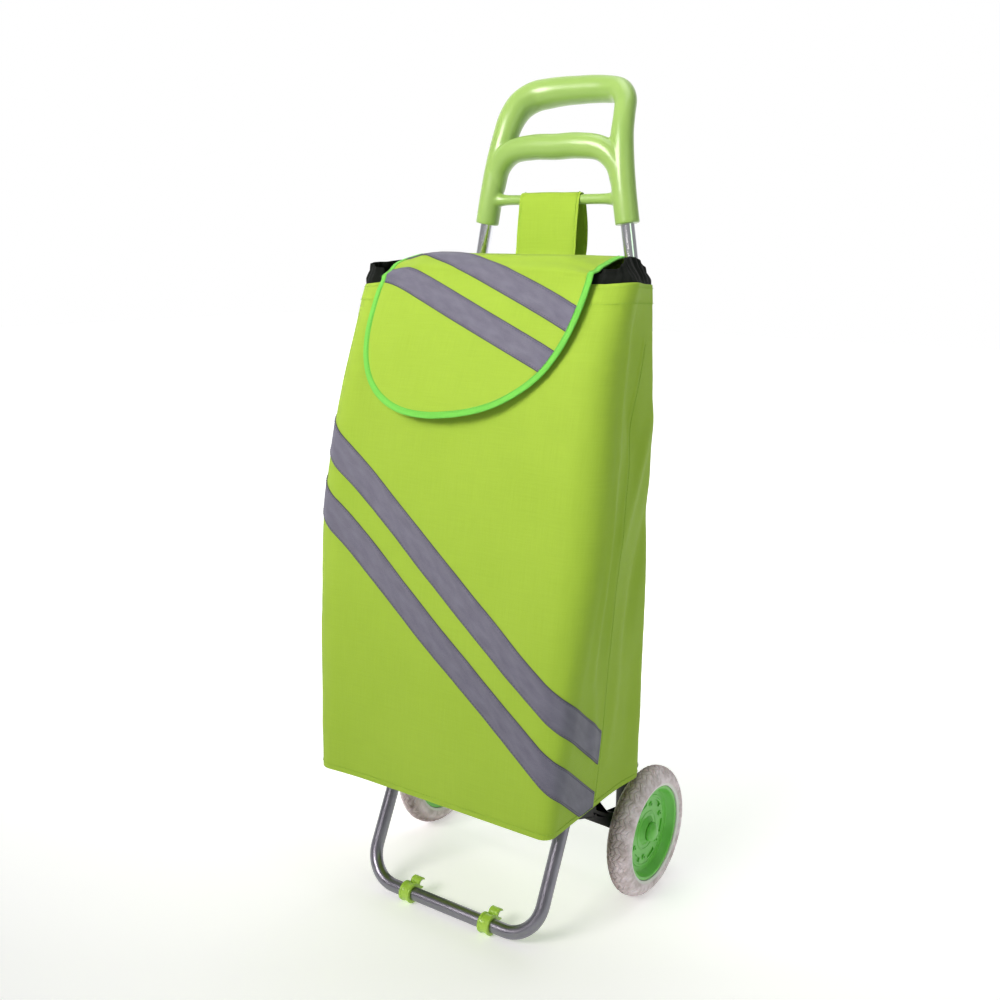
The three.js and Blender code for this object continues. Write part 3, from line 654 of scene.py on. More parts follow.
def bag_stretches(z):
    """Lengths round half of the bag: front, front corner, side, back corner, back."""
    front, back, front_half, back_half, corner = bag_at(z)
    return (front_half - corner, math.pi / 2 * corner, back - BACK_CORNER - front - corner,
            np.full_like(front, math.pi / 2 * BACK_CORNER), back_half - BACK_CORNER)


def bag_outline(around, z):
    """Points and outward directions at distances round the bag from the middle of its front."""
    around, z = np.broadcast_arrays(np.asarray(around, float), np.asarray(z, float))
    front, _, front_half, back_half, corner = bag_at(z)
    flat, bend, run, back_bend, _ = bag_stretches(z)
    side = np.where(around < 0, -1.0, 1.0)
    left = np.abs(around)
    a = np.clip((left - flat) / corner, 0, math.pi / 2)
    s = np.clip(left - flat - bend, 0, run)
    b = np.clip((left - flat - bend - run) / BACK_CORNER, 0, math.pi / 2)
    last = np.clip(left - flat - bend - run - back_bend, 0, None)
    x = np.minimum(left, flat) + corner * np.sin(a) + (back_half - front_half) * s / run
    x = x - BACK_CORNER * (1 - np.cos(b)) - last
    y = front + corner * (1 - np.cos(a)) + s + BACK_CORNER * np.sin(b)
    turn = a + b
    normal = np.stack([side * np.sin(turn), -np.cos(turn), np.zeros_like(turn)], -1)
    return np.stack([side * x, y, z], -1), normal


def folded(u, v, folds):
    """The rise of the cloth at places on it, from a list of soft folds."""
    total = np.zeros(np.broadcast(u, v).shape)
    for u0, v0, u1, v1, width, rise in folds:
        du, dv = u1 - u0, v1 - v0
        t = np.clip(((u - u0) * du + (v - v0) * dv) / (du * du + dv * dv), 0, 1)
        away = np.hypot(u - u0 - t * du, v - v0 - t * dv)
        total += rise * (0.35 + 0.65 * np.sin(math.pi * t)) * np.exp(-((away / width) ** 2))
    return total


def table(x, places, values, blur=7.0):
    """Values read from a short table, with its corners rounded off."""
    x = np.asarray(x, float)
    return sum(np.interp(x + shift, places, values) for shift in np.linspace(-blur, blur, 7)) / 7


def corner_swell(around, z):
    """How far the load pushes out the back corners and the left front corner."""
    front, arc, side = bag_stretches(z)[:3]
    to_back = front + arc + side + math.pi / 4 * BACK_CORNER
    back = 5.4 * np.exp(-(((np.abs(around) - to_back) / 34) ** 2)) * np.clip((RIM + 60 - z) / 160, 0, 1)
    left = table(z, [163, 300, 478, 590, 645, 697, 722, 738], [4.4, 6.5, 7.8, 6.6, 5, 5, 8, 9.5])
    return back + left * np.exp(-(((around + front + arc * 0.6) / 38) ** 2))


def rim_sag(around):
    """How far the rim hangs below its level: most at the left front corner, where the flap pulls it."""
    around = np.asarray(around, float)
    return (8.5 * np.exp(-(((around + 180) / 48) ** 2)) + 3.5 * np.exp(-(((around - 300) / 55) ** 2))
            - 2.5 * np.exp(-(((around - 182) / 26) ** 2)))


def ripple(points, scale, seed):
    """Smooth repeatable noise at points in millimetres, about -1 to 1."""
    flat = np.asarray(points, float).reshape(-1, 3) / scale + (seed, 0, 0)
    found = np.array([noise.noise(Vector(p)) for p in flat])
    return found.reshape(points.shape[:-1])


def bag_skin(around, z, offset=0.0):
    """Points on the sagging, folded cloth of the bag, raised from it by the offset, and its directions."""
    points, normals = bag_outline(around, z)
    around, z = np.broadcast_arrays(np.asarray(around, float), np.asarray(z, float))
    rise = folded(around, z, BAG_FOLDS)
    held = np.clip((z - BAG_BOTTOM) / 45, 0, 1) * (0.25 + 0.75 * np.clip((RIM - z) / 60, 0, 1))
    rise = rise * held + 0.7 * ripple(points, 55, 3) * held + 0.25 * ripple(points, 17, 8)
    seam = 0.9 * np.exp(-(((np.abs(around) - SEAM) / 1.6) ** 2)) * (z < RIM - 60)
    hem = 0.5 * np.clip((z - RIM + 22) / 1.5, 0, 1)
    points = points + normals * (rise + seam + hem + corner_swell(around, z) + offset)[..., None]
    points[..., 2] -= rim_sag(around) * np.clip((z - 600) / (RIM - 600), 0, 1) ** 2
    return points, normals


def bag_columns(z, counts=(44, 12, 40, 7, 34)):
    """Distances round the bag at a height, for columns that keep to its corners, left round to right."""
    edges = np.cumsum([0, *bag_stretches(z)])
    right = np.concatenate([np.linspace(start, end, count, endpoint=False)
                            for start, end, count in zip(edges, edges[1:], counts)])
    return np.concatenate([-edges[-1:], -right[:0:-1], right])


def bag_ring(z, offset):
    """One ring of the bag at a height: the distances round it, its points and its directions."""
    around = bag_columns(z)
    return around, *bag_skin(around, np.full_like(around, z), offset)


def make_bag(material):
    """The bag in one skin: the base outside, up the wall, over the hem, and down the inside to the base."""
    wall = np.concatenate([BAG_BOTTOM + np.array([0, 0.8, 2.2]), np.linspace(BAG_BOTTOM + 5, RIM - 1.2, 136)])
    base = np.array([0.0, 0.3, 0.6, 0.85, 0.965, 0.985])
    middle = np.array([0, (BAG_LEVELS[0, 1] + BAG_LEVELS[0, 2]) / 2, 0])
    rows, cloth = [], []

    def add(z, offset, spread=1.0, drop=0.0, run=0.0):
        around, points, _ = bag_ring(z, offset)
        points = points * (spread, spread, 1) + middle * (1 - spread)
        points[:, 2] += drop
        rows.append(points)
        reach = np.append(around, -around[0])
        cloth.append(np.column_stack([reach * spread, np.full(len(reach), z - run)]))

    for spread in base:
        add(BAG_BOTTOM, 0, spread, 0.0, 100 * (1 - spread))
    for z in wall:
        add(z, 0)
    add(RIM - 0.3, -0.15)
    add(RIM, -CLOTH / 2)
    add(RIM - 0.3, 0.15 - CLOTH)
    for z in wall[:2:-1]:
        add(z, -CLOTH)
    for spread in base[::-1]:
        add(BAG_BOTTOM, -CLOTH, spread, CLOTH, 100 * (1 - spread))
    bag = solid(np.array(rows), "bag_cloth", material, 60, np.array(cloth))
    settle(bag, "lime_fabric", "frame", "bag_body")


TAPE_THICKNESS, TAPE_LIFT = 0.7, 0.25


def laid_tape(name, line, surface, height, slope, material):
    """A tape laid on a surface: over its face, whose edges are rounded, and back under it.

    Line gives the places at a share of the tape's width, and surface the points there.
    """
    across = np.array([0, 0.035, *np.linspace(0.12, 0.88, 12), 0.965, 1])
    raised = np.ones(len(across))
    raised[[0, -1]] = 0.25
    rows, cloth = [], []
    for t, rise in (*zip(across, raised), *zip(across[::-1], 0 * raised)):
        along, other = line(t)
        rows.append(surface(along, other, TAPE_LIFT + rise * TAPE_THICKNESS)[0])
        sideways = np.full(len(along), (t - 0.5) * height / math.hypot(1, slope))
        cloth.append(np.column_stack([along * math.hypot(1, slope), sideways]))
    rows = np.array(rows)
    cloth = np.array([*cloth, cloth[0]])
    tape = Skin().grid(rows.transpose(1, 0, 2), cloth.transpose(1, 0, 2), wrap=True)
    half = len(rows) // 2
    for end in (0, -1):
        tape.grid(np.stack([rows[:half, end], rows[:half - 1:-1, end]], 1))
    return tape.made(name, material, 60)


def bag_tape_line(part, t):
    """The tape's places: (distance round, height) at a share t of its height above its lower edge."""
    around = np.linspace(-SEAM + 1, SEAM - 1, 150)
    z = BAG_TAPE_TOPS[part] - BAG_TAPE_SLOPE * around - BAG_TAPE_HEIGHT * (1 - t)
    return around, np.maximum(z, BAG_BOTTOM + 2.5 + 0.5 * t)


def make_bag_tapes(material, thread):
    seam_skin = Skin()
    for part in ("upper", "lower"):
        line = partial(bag_tape_line, part)
        tape = laid_tape(f"bag_tape_{part}_cloth", line, bag_skin, BAG_TAPE_HEIGHT, BAG_TAPE_SLOPE, material)
        settle(tape, "grey_tape", "frame", f"bag_tape_{part}")
        for t in (0.07, 0.93):
            stitches(seam_skin, *bag_skin(*line(t), TAPE_LIFT + TAPE_THICKNESS))
    settle(seam_skin.made("bag_tape_sewing", thread), "grey_tape", "frame")


def make_bag_sewing(thread):
    """Thread along the rim's hem, beside the side seams and round the foot of the bag."""
    skin = Skin()
    lift = 0.1
    for z in (RIM - 4, RIM - 20, BAG_BOTTOM + 6):
        stitches(skin, *bag_ring(z, lift)[1:])
    heights = np.linspace(BAG_BOTTOM + 8, RIM - 62, 110)
    for side in (-1, 1):
        stitches(skin, *bag_skin(np.full_like(heights, side * (SEAM + 4.5)), heights, lift))
    settle(skin.made("bag_sewing", thread), "lime_fabric", "frame")


def make_collar(material):
    """Thin black cloth gathered round the rim, with a fuller hem at its top where the drawstring runs."""
    count, height = 560, 26
    half = -bag_columns(RIM - 2.0)[0]
    around = np.linspace(-half, half, count, endpoint=False)
    base, normal = bag_skin(around, np.full(count, RIM - 2.0))
    loose = ripple(base, 24, 21)
    pleat = np.sin(around / 2.6 + 2.2 * loose) + 0.5 * np.sin(around / 1.55 + 5 * ripple(base, 40, 5))
    crest = 1.6 * ripple(base, 34, 2) + 0.8 * ripple(base, 11, 12)
    crest = crest + table(around, [-280, -230, -180, -146, 120, 165, 186, 200, 228, 240, 255, 345],
                          [-3, -2, 0, -10, -9, -12, -4, 2, 1, -6, -8, -8])
    inward = table(around, [-400, 150, 185, 210, 235, 270], [0, 0, 9, 9, 3, 0])
    tucked = -CLOTH - 0.6
    lean = np.array([tucked, tucked, tucked, tucked, tucked - 0.3, -2.6, -4.0, -5.6, -7.0, -8.0, -8.6, -8.7])
    rise = np.array([-14, -9, -4, 0.0, 3.5, 7.0, 10.5, 14.0, 17.0, 20.0, 23.0, 25.5])
    wave = np.array([0.0, 0.0, 0.0, 0.1, 0.7, 1.0, 1.2, 1.2, 0.9, 1.1, 1.3, 1.5])
    full = np.array([0.25] * 8 + [0.5, 1.0, 1.1, 0.55])
    rows, cloth = [], []
    for face in (1, -1):
        order = range(len(rise)) if face > 0 else range(len(rise) - 1, -1, -1)
        for i in order:
            out = lean[i] - inward * max(rise[i], 0) / height + wave[i] * pleat * 0.85 + face * full[i]
            if rise[i] < 0:
                points = bag_skin(around, np.full(count, RIM + rise[i]))[0] + normal * out[:, None]
            else:
                points = base + normal * out[:, None]
                points[:, 2] = RIM + rise[i] + crest * rise[i] / height - rim_sag(around)
            points[:, 2] = np.minimum(points[:, 2], below_flap(points) - 0.1 * (len(rise) - i))
            rows.append(points)
            reach = np.append(around, around[0] + 2 * half) * 1.2
            cloth.append(np.column_stack([reach, np.full(count + 1, rise[i] + 60 * (face < 0))]))
    rows.append(rows[0])
    cloth.append(cloth[0])
    collar = solid(np.array(rows), "collar_cloth", material, 70, np.array(cloth))
    settle(collar, "black_fabric", "frame", "drawstring_collar")


# ---- the flap ---------------------------------------------------------------------------------
FLAP_TOP = box_mm("flap_top")[1][2]
FOLD_Y = joint_mm("flap_unfold")[1]
FLAP_X, FLAP_HALF = -2, 136.5
FLAP_BOTTOM = 599
FLAP_CURVE_TOP = 715                    # below this height the flap's sides turn in to its rounded end
FLAP_POWER = 2.3
FLAP_TILT = 0.15                        # its rounded end hangs aslant, lower towards the left
FLAP_CLOTH = 1.0
FLAP_SPLIT = -64                        # where the rear strip hands over to the main piece
FLAP_TAPE_CENTRES = {"upper": 765, "lower": 714.5}
FLAP_TAPE_SLOPE, FLAP_TAPE_HEIGHT = 0.37, 28
FLAP_FOLDS = (
    (-95, 45, -60, 110, 16, -1.8),
    (-70, 60, -95, 140, 14, 1.4),
    (-30, 120, -20, 175, 18, -1.4),
    (70, 20, 40, 120, 26, 1.3),
    (20, 40, -10, 100, 24, -1.0),
    (105, 70, 80, 130, 16, -1.3),
    (-130, 0, -120, 70, 14, 1.5),
)


def flap_profile():
    """The flap's middle line in the side plane: from the bag's back, over the top, and down the front."""
    rear = [(-36.2, 712), (-36.2, 728), (-36.4, 742), (-38.2, 753), (-43, 761.5), (-51, 765.8), (-62, 766.8)]
    z = np.linspace(752, FLAP_BOTTOM - 12, 26)
    lying = bag_at(z)[0] - 4.2
    falling = FOLD_Y - 2 - (FLAP_TOP - z) * 0.45
    front = -np.logaddexp(-lying / 2.5, -falling / 2.5) * 2.5
    over = [(-82, 766.9), (-102, 766.6), (-111, 764.8), (-117.5, 760.5)]
    corners = [(0, y, h) for y, h in [*rear, *over, *zip(front, z)]]
    return smooth_path(corners, 1.2)[:, 1:]


FLAP_LINE = flap_profile()
FLAP_RUN = np.concatenate([[0], np.cumsum(np.hypot(*np.diff(FLAP_LINE, axis=0).T))])
FLAP_RUN -= np.interp(-FOLD_Y, -FLAP_LINE[:, 0], FLAP_RUN)
SPLIT_RUN = np.interp(-FLAP_SPLIT, -FLAP_LINE[:, 0], FLAP_RUN)


def flap_line_at(run):
    """Y and z of the flap's middle line at distances along it from the fold."""
    return np.array([np.interp(run, FLAP_RUN, values) for values in FLAP_LINE.T])


def run_down_to(z):
    """How far along the flap from the fold its middle line comes down to a height."""
    front = FLAP_RUN > 0
    return np.interp(-np.asarray(z), -FLAP_LINE[front, 1], FLAP_RUN[front])


def flap_hang(across, run):
    """How far the flap's corners fall below its middle line, and back from it."""
    left = np.clip((-across - 86) / 58, 0, 1)
    right = np.clip((across - 92) / 52, 0, 1)
    left, right = left * left * (3 - 2 * left), right * right * (3 - 2 * right)
    down = (left * table(run, [-64, -38, -15, 3, 15, 25, 40, 50], [1, 6, 11.6, 15, 12.5, 7.6, 1, 0])
            + right * table(run, [-64, -38, -14, 3, 15, 25], [0, 4, 11, 9, 3, 0]))
    ahead = right * table(run, [10, 35, 60, 120, 160], [0, 3, 5.5, 4, 0])
    return down, ahead


def below_flap(points):
    """The greatest height that cloth lying under the flap can reach at each point."""
    across = points[:, 0] - FLAP_X
    run = np.interp(-points[:, 1], -FLAP_LINE[:, 0], FLAP_RUN)
    down, _ = flap_hang(across, run)
    free = np.clip((np.abs(across) - FLAP_HALF - 7) / 12, 0, 1) * 40
    return flap_line_at(run)[1] - down - FLAP_CLOTH - 1.6 + free


def aslant(x, run):
    """How far the flap's outline lies up its cloth at x, from where an upright outline would be."""
    return FLAP_TILT * (x - FLAP_X) * np.clip(np.asarray(run) / 60, 0, 1)


def flap_half(z, run):
    """Half the flap's width at a height on its front, or the nearly straight width behind the fold."""
    below = np.clip((FLAP_CURVE_TOP - z) / (FLAP_CURVE_TOP - FLAP_BOTTOM), 0, 1)
    half = FLAP_HALF * (1 - below**FLAP_POWER) ** (1 / FLAP_POWER)
    return half - 2 * np.clip(-run / 80, 0, 1)


def flap_room(x, run):
    """Half the flap's width where it crosses a point of its cloth."""
    upright = run + aslant(x, run)
    return flap_half(flap_line_at(upright)[1], upright)


def flap_skin(x, run, offset=0.0):
    """Points on the flap and its outward directions, at x across and a distance along from the fold."""
    x, run = np.broadcast_arrays(np.asarray(x, float), np.asarray(run, float))
    y, z = flap_line_at(run)
    step = 4
    dy, dz = flap_line_at(run + step) - flap_line_at(run - step)
    length = np.hypot(dy, dz)
    normal = np.stack([np.zeros_like(x), dz / length, -dy / length], -1)
    across = x - FLAP_X
    down, ahead = flap_hang(across, run)
    rise = folded(across, run, FLAP_FOLDS) * np.clip((run + 20) / 40, 0, 1)
    points = np.stack([x, y - ahead, z - down], -1)
    rise = rise + 0.45 * ripple(points, 38, 11) * np.clip((run + 40) / 60, 0, 1)
    return points + normal * (rise + offset)[..., None], normal


def flap_strip(x_share, runs, offset):
    """Rows of points across the flap at distances along it, and their places on its cloth."""
    half = np.maximum(flap_half(flap_line_at(runs)[1], runs), 7)
    x = FLAP_X + x_share[None, :] * half[:, None]
    run = runs[:, None] - aslant(x, runs[:, None])
    points, _ = flap_skin(x, run, offset)
    return points, np.stack([x, run], -1)


def flap_panel(name, runs, material):
    """A closed thin panel of the flap between two runs: its outer face, round its edge, its inner face."""
    share = np.sin(np.linspace(-1, 1, 121) * math.pi / 2)
    outer, place = flap_strip(share, runs, 0.0)
    inner, _ = flap_strip(share, runs, -FLAP_CLOTH)
    ring = np.concatenate([outer, inner[:, ::-1]], 1)
    cloth = np.concatenate([place, place[:, ::-1], place[:, :1]], 1)
    skin = Skin().grid(ring, cloth, wrap=True)
    for end in (0, -1):
        skin.grid(np.stack([outer[end], inner[end]]), np.stack([place[end]] * 2))
    return skin.made(name, material, 60)


def across_fold(piece):
    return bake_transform(piece)


def make_flap(material):
    last = run_down_to(FLAP_BOTTOM)
    falling = last * 0.55
    tail = falling + (last - falling) * np.sin(np.linspace(0, math.pi / 2, 56))
    runs = np.concatenate([np.arange(SPLIT_RUN, falling - 1, 2.0), tail])
    flap = flap_panel("flap_cloth", runs, material)
    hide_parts("flap_front", "flap_top")
    across_fold(flap)
    rear = flap_panel("flap_rear_cloth", np.linspace(FLAP_RUN[0], SPLIT_RUN, 46), material)
    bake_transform(rear)


def flap_edge(margin):
    """A line outside the flap's free edge, from its split line round the front and back, as x and run."""
    straight = np.arange(SPLIT_RUN, run_down_to(FLAP_CURVE_TOP), 3.0)
    a = np.linspace(0, math.pi / 2, 80)
    depth = np.sin(a) ** (2 / FLAP_POWER)
    x = np.cos(a) ** (2 / FLAP_POWER) * (FLAP_HALF + margin)
    z = FLAP_CURVE_TOP - depth * (FLAP_CURVE_TOP - FLAP_BOTTOM + margin)
    half = flap_half(np.full_like(straight, FLAP_CURVE_TOP), straight) + margin
    right = np.concatenate([np.column_stack([half, straight]), np.column_stack([x, run_down_to(z)])])
    left = right[::-1] * (-1, 1)
    edge = np.concatenate([right, left[1:]]) + (FLAP_X, 0)
    edge[:, 1] -= aslant(*edge.T)
    return edge


def make_flap_edging(material, thread):
    """A folded binding sewn over the flap's edge, with a line of stitches along it."""
    x, run = flap_edge(1.0).T
    points, normals = flap_skin(x, run, -FLAP_CLOTH / 2)
    even = Spine(points)
    along = np.arange(0, even.length, 2.2)
    centre, tangent = even.at(along, even.points), unit(even.at(along, even.tangents))
    normal = unit(even.at(along, normals))
    outward = unit(np.cross(tangent, normal))
    out_edge = (even.points[len(x) // 2] - even.points.mean(0)) @ outward[len(along) // 2]
    outward = outward * np.sign(out_edge)
    a = np.linspace(0, 2 * math.pi, 22, endpoint=False)
    wide, thick = 3.9, 1.35
    out = np.sign(np.cos(a)) * np.abs(np.cos(a)) ** 0.75 * wide
    up = np.sign(np.sin(a)) * np.abs(np.sin(a)) ** 0.75 * thick * np.where(np.cos(a) < -0.55, 0.8, 1)
    rings = centre[:, None] + outward[:, None] * out[None, :, None] + normal[:, None] * up[None, :, None]
    first, last = (np.broadcast_to(rings[end].mean(0), (1, *rings[0].shape)) for end in (0, -1))
    rings = np.concatenate([first, rings, last])
    length = np.concatenate([[0], along, [along[-1]]])
    cloth = np.stack(np.broadcast_arrays(length[:, None], np.append(a, 2 * math.pi)[None] * 3), -1)
    edging = solid(rings, "flap_edging", material, 60, cloth)
    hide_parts("flap_binding")
    across_fold(edging)

    skin = Skin()
    stitches(skin, centre - outward * 2.4 + normal * (thick + 0.05), normal, 3.8, 2.7)
    sewing = skin.made("flap_edge_sewing", thread)
    across_fold(sewing)


def flap_tape_line(part, t):
    """One line along a flap tape as x and run, between the flap's edges, t being its share of the width."""
    highest = FLAP_TOP - 16             # above this the tape lies straight on over the fold

    def run_at(x):
        height = FLAP_TAPE_CENTRES[part] - FLAP_TAPE_SLOPE * x - FLAP_TAPE_HEIGHT * (1 - t)
        return run_down_to(np.minimum(height, highest)) - np.maximum(height - highest, 0) * 1.09

    x = np.linspace(FLAP_X - FLAP_HALF + 2, FLAP_X + FLAP_HALF - 2, 300)
    inside = (np.abs(x - FLAP_X) < flap_room(x, run_at(x)) - 2.2) & (run_at(x) > SPLIT_RUN + 1)
    x = np.linspace(x[inside][0], x[inside][-1], 150)
    return x, run_at(x)


def make_flap_tapes(material, thread):
    sewing_skin = Skin()
    for part in ("upper", "lower"):
        line = partial(flap_tape_line, part)
        tape = laid_tape(f"flap_tape_{part}_cloth", line, flap_skin, FLAP_TAPE_HEIGHT, FLAP_TAPE_SLOPE,
                         material)
        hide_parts(f"flap_tape_{part}")
        across_fold(tape)
        length = math.hypot(1, FLAP_TAPE_SLOPE) * np.ptp(line(0)[0]) * MM
        for t in (0.09, 0.91):
            stitches(sewing_skin, *flap_skin(*line(t), TAPE_LIFT + TAPE_THICKNESS))
    sewing = sewing_skin.made("flap_tape_sewing", thread)
    across_fold(sewing)


# ---- straps -----------------------------------------------------------------------------------
def strap_band(line, x0, x1, thickness, columns=22):
    """A closed band across X that follows a line in the side plane."""
    spine = Spine([(0, y, z) for y, z in line], side=(1, 0, 0))
    along = np.linspace(0, spine.length, int(spine.length / 2.2))
    centre = spine.at(along, spine.points)
    normal = unit(np.cross(unit(spine.at(along, spine.tangents)), (1, 0, 0)))
    x = np.linspace(x0, x1, columns)
    eased = np.minimum(1, np.minimum(x - x0, x1 - x) / 1.2 + 0.35)
    waver = 0.5 * ripple(centre[:, None] + np.stack([x, 0 * x, 0 * x], -1), 26, 31)
    rows = []
    for face, order in ((1, slice(None)), (-1, slice(None, None, -1))):
        lift = waver[:, order] + face * thickness / 2 * eased[order]
        points = centre[:, None] + normal[:, None] * lift[..., None]
        points = points + np.stack([x[order], 0 * x, 0 * x], -1)
        rows.append(points)
    cloth = np.stack(np.broadcast_arrays(np.concatenate([x, x[::-1], x[:1]])[None], along[:, None]), -1)
    skin = Skin().grid(np.concatenate(rows, 1), cloth, wrap=True)
    for end in (0, -1):
        skin.grid(np.stack([rows[0][end], rows[1][end, ::-1]]))
    return skin, centre, normal


def hang_aside(strap):
    """Lets the strap lean to the left on its way up, where it has slid along the bar."""
    slid, foot, climb = 4.2, 740, 95
    for vertex in strap.data.vertices:
        vertex.co.x -= slid * MM * min(max((vertex.co.z / MM - foot) / climb, 0), 1)


def make_carry_strap(material, thread):
    """The strap sewn to the bag's back that loops over the handle's slim bar."""
    half = box_mm("carry_strap")[1][0]
    line = smooth_path([(0, y, z) for y, z in (
        (-35.0, 704), (-34.6, 722), (-30.5, 738), (-20, 750), (-10, 758), (-4.5, 770), (-1.5, 790),
        (2.2, 812), (6.2, 830), (9.2, 835.6), (13, 837.0), (16.8, 835.6), (20, 830), (23, 815),
        (24.5, 795), (22, 772), (12, 752), (-8, 736), (-24, 726), (-31.2, 716), (-33.0, 704))], 1.5)[:, 1:]
    skin, centre, normal = strap_band(line, -half, half, 1.3)
    strap = skin.made("carry_strap_cloth", material, 60)
    hang_aside(strap)
    settle(strap, "lime_fabric", "frame", "carry_strap")

    sewing_skin = Skin()
    for x in (-half + 3.5, half - 3.5):
        for face in (1, -1):
            stitches(sewing_skin, centre + (x, 0, 0) + normal * face * 0.75, normal * face)
    box = np.array([(-30, 708), (30, 708), (30, 724), (-30, 724), (-30, 708)], float)
    outline = [(x, -32.1, z) for x, z in box]
    for start, end in zip(outline, outline[1:]):
        run = np.linspace(start, end, 12)
        stitches(sewing_skin, run, np.tile((0, 1, 0), (12, 1)))
    sewing = sewing_skin.made("carry_strap_sewing", thread)
    hang_aside(sewing)
    settle(sewing, "lime_fabric", "frame")


def make_rear_ties(material, thread):
    """Two webbing loops that hold the bag's back to the cross tube."""
    low, high = box_mm("cross_tube")
    tube_y, tube_z = (low[1] + high[1]) / 2, (low[2] + high[2]) / 2
    reach = (high[2] - low[2]) / 2 + 1.3
    back = bag_at(tube_z)[1] + 1.6
    bend = [(tube_y + reach * math.cos(a), tube_z + reach * math.sin(a))
            for a in np.linspace(-math.pi / 2, math.pi / 2, 9)]
    line = smooth_path([(0, y, z) for y, z in (
        (back, tube_z - 26), (back, tube_z - 14), (back + 5, tube_z - reach - 1.5), *bend,
        (back + 5, tube_z + reach + 1.5), (back, tube_z + 14), (back, tube_z + 26))], 1.5)[:, 1:]
    sewing_skin = Skin()
    for name, sign in SIDES:
        x0, x1 = sorted((sign * 68, sign * 92))
        skin, _, _ = strap_band(line, x0, x1, 1.2, 12)
        tie = skin.made(f"rear_tie_{name}_webbing", material, 60)
        settle(tie, "lime_fabric", "frame", f"rear_tie_{name}")
        for z in (tube_z - 22, tube_z + 22):
            run = np.column_stack([np.linspace(x0 + 2, x1 - 2, 8), np.full(8, back + 0.7), np.full(8, z)])
            stitches(sewing_skin, run, np.tile((0, 1, 0), (8, 1)))
    settle(sewing_skin.made("rear_tie_sewing", thread), "lime_fabric", "frame")


def make_board(material):
    """The stiff board that keeps the bag's base flat."""
    low, high = box_mm("base_board")
    corner, ease = 9, 0.5
    middle, reach = (low + high)[:2] / 2, (high - low)[:2] / 2 - corner
    outline = np.array([middle + reach * way + corner * np.array([math.cos(a), math.sin(a)])
                        for way, start in (((1, 1), 0), ((-1, 1), 90), ((-1, -1), 180), ((1, -1), 270))
                        for a in np.radians(start + np.linspace(0, 90, 9))])
    rings = []
    for z, inset, spread in ((low[2], 0, 0), (low[2], ease, 1), (low[2] + ease, 0, 1),
                             (high[2] - ease, 0, 1), (high[2], ease, 1), (high[2], 0, 0)):
        flat = middle + (outline - middle) * spread * (1 - inset / 150)
        rings.append(np.column_stack([flat, np.full(len(flat), z)]))
    settle(solid(np.array(rings), "base_board_panel", material), "hardboard", "frame", "base_board")


# ---- tubes and handle -------------------------------------------------------------------------
SOCKET = np.array([97.5, 13, 801])      # where an upright enters the handle
UPRIGHT_FOOT, UPRIGHT_TOP, UPRIGHT_BEND = 104, 838, 615
UPRIGHT_X = 130
TUBE_RADIUS = 8


def lean_y(z):
    return SOCKET[1] * (z - UPRIGHT_FOOT) / (SOCKET[2] - UPRIGHT_FOOT)


def lean_x(z):
    return UPRIGHT_X - (UPRIGHT_X - SOCKET[0]) * max(z - UPRIGHT_BEND, 0) / (SOCKET[2] - UPRIGHT_BEND)


def make_tubes(chrome, satin):
    for name, sign in SIDES:
        corners = [(sign * lean_x(z), lean_y(z), z) for z in (UPRIGHT_FOOT, UPRIGHT_BEND, UPRIGHT_TOP)]
        path = rounded_path(corners, 90)
        upright = solid(tube(path, TUBE_RADIUS, side=(1, 0, 0)), f"upright_{name}_plated", chrome)
        settle(upright, "bright_steel", "frame", f"upright_{name}")
    low, high = box_mm("cross_tube")
    y, z = (low[1] + high[1]) / 2, (low[2] + high[2]) / 2
    rings = tube([(low[0], y, z), (0, y, z), (high[0], y, z)], (high[2] - low[2]) / 2)
    settle(solid(rings, "cross_tube_plated", chrome), "bright_steel", "frame", "cross_tube")

    pivot = joint_mm("foot_fold")
    bar = np.array([122, *FOOT_BAR])
    along = unit(pivot - (0, *bar[1:]))
    top = pivot + along * 7 + (bar[0], 0, 0)
    mirror = np.array([-1, 1, 1])
    path = rounded_path([top, bar, bar * mirror, top * mirror], 40)
    path = np.concatenate([np.linspace(path[0], path[1], 30)[:-1], path[1:-1],
                           np.linspace(path[-2], path[-1], 30)[1:]])
    loop = solid(tube(path, TUBE_RADIUS, side=(1, 0, 0)), "foot_loop_tube", satin)
    settle(loop, "satin_steel", "foot", "foot_loop")


def swept(corners, radius, side=(1, 0, 0), step=2.0, sides=40):
    """A closed round bar whose radius is a function of the share of its length."""
    spine = Spine(smooth_path(corners, step), side)
    along = np.linspace(0, spine.length, int(spine.length / step))
    radii = [radius(share) for share in along / spine.length]
    return spine.sweep(np.concatenate([along[:1], along, along[-1:]]), np.array([0, *radii, 0]), sides)


def round_bar(start, end, radii, sides, depths=None):
    """Rings of a straight bar between two points, with radii at its two ends, or at depths along it."""
    spine = Spine([start, end], side=(1, 0, 0))
    if depths is None:
        depths = [0, 0, spine.length, spine.length]
    return spine.sweep(depths, radii, sides)


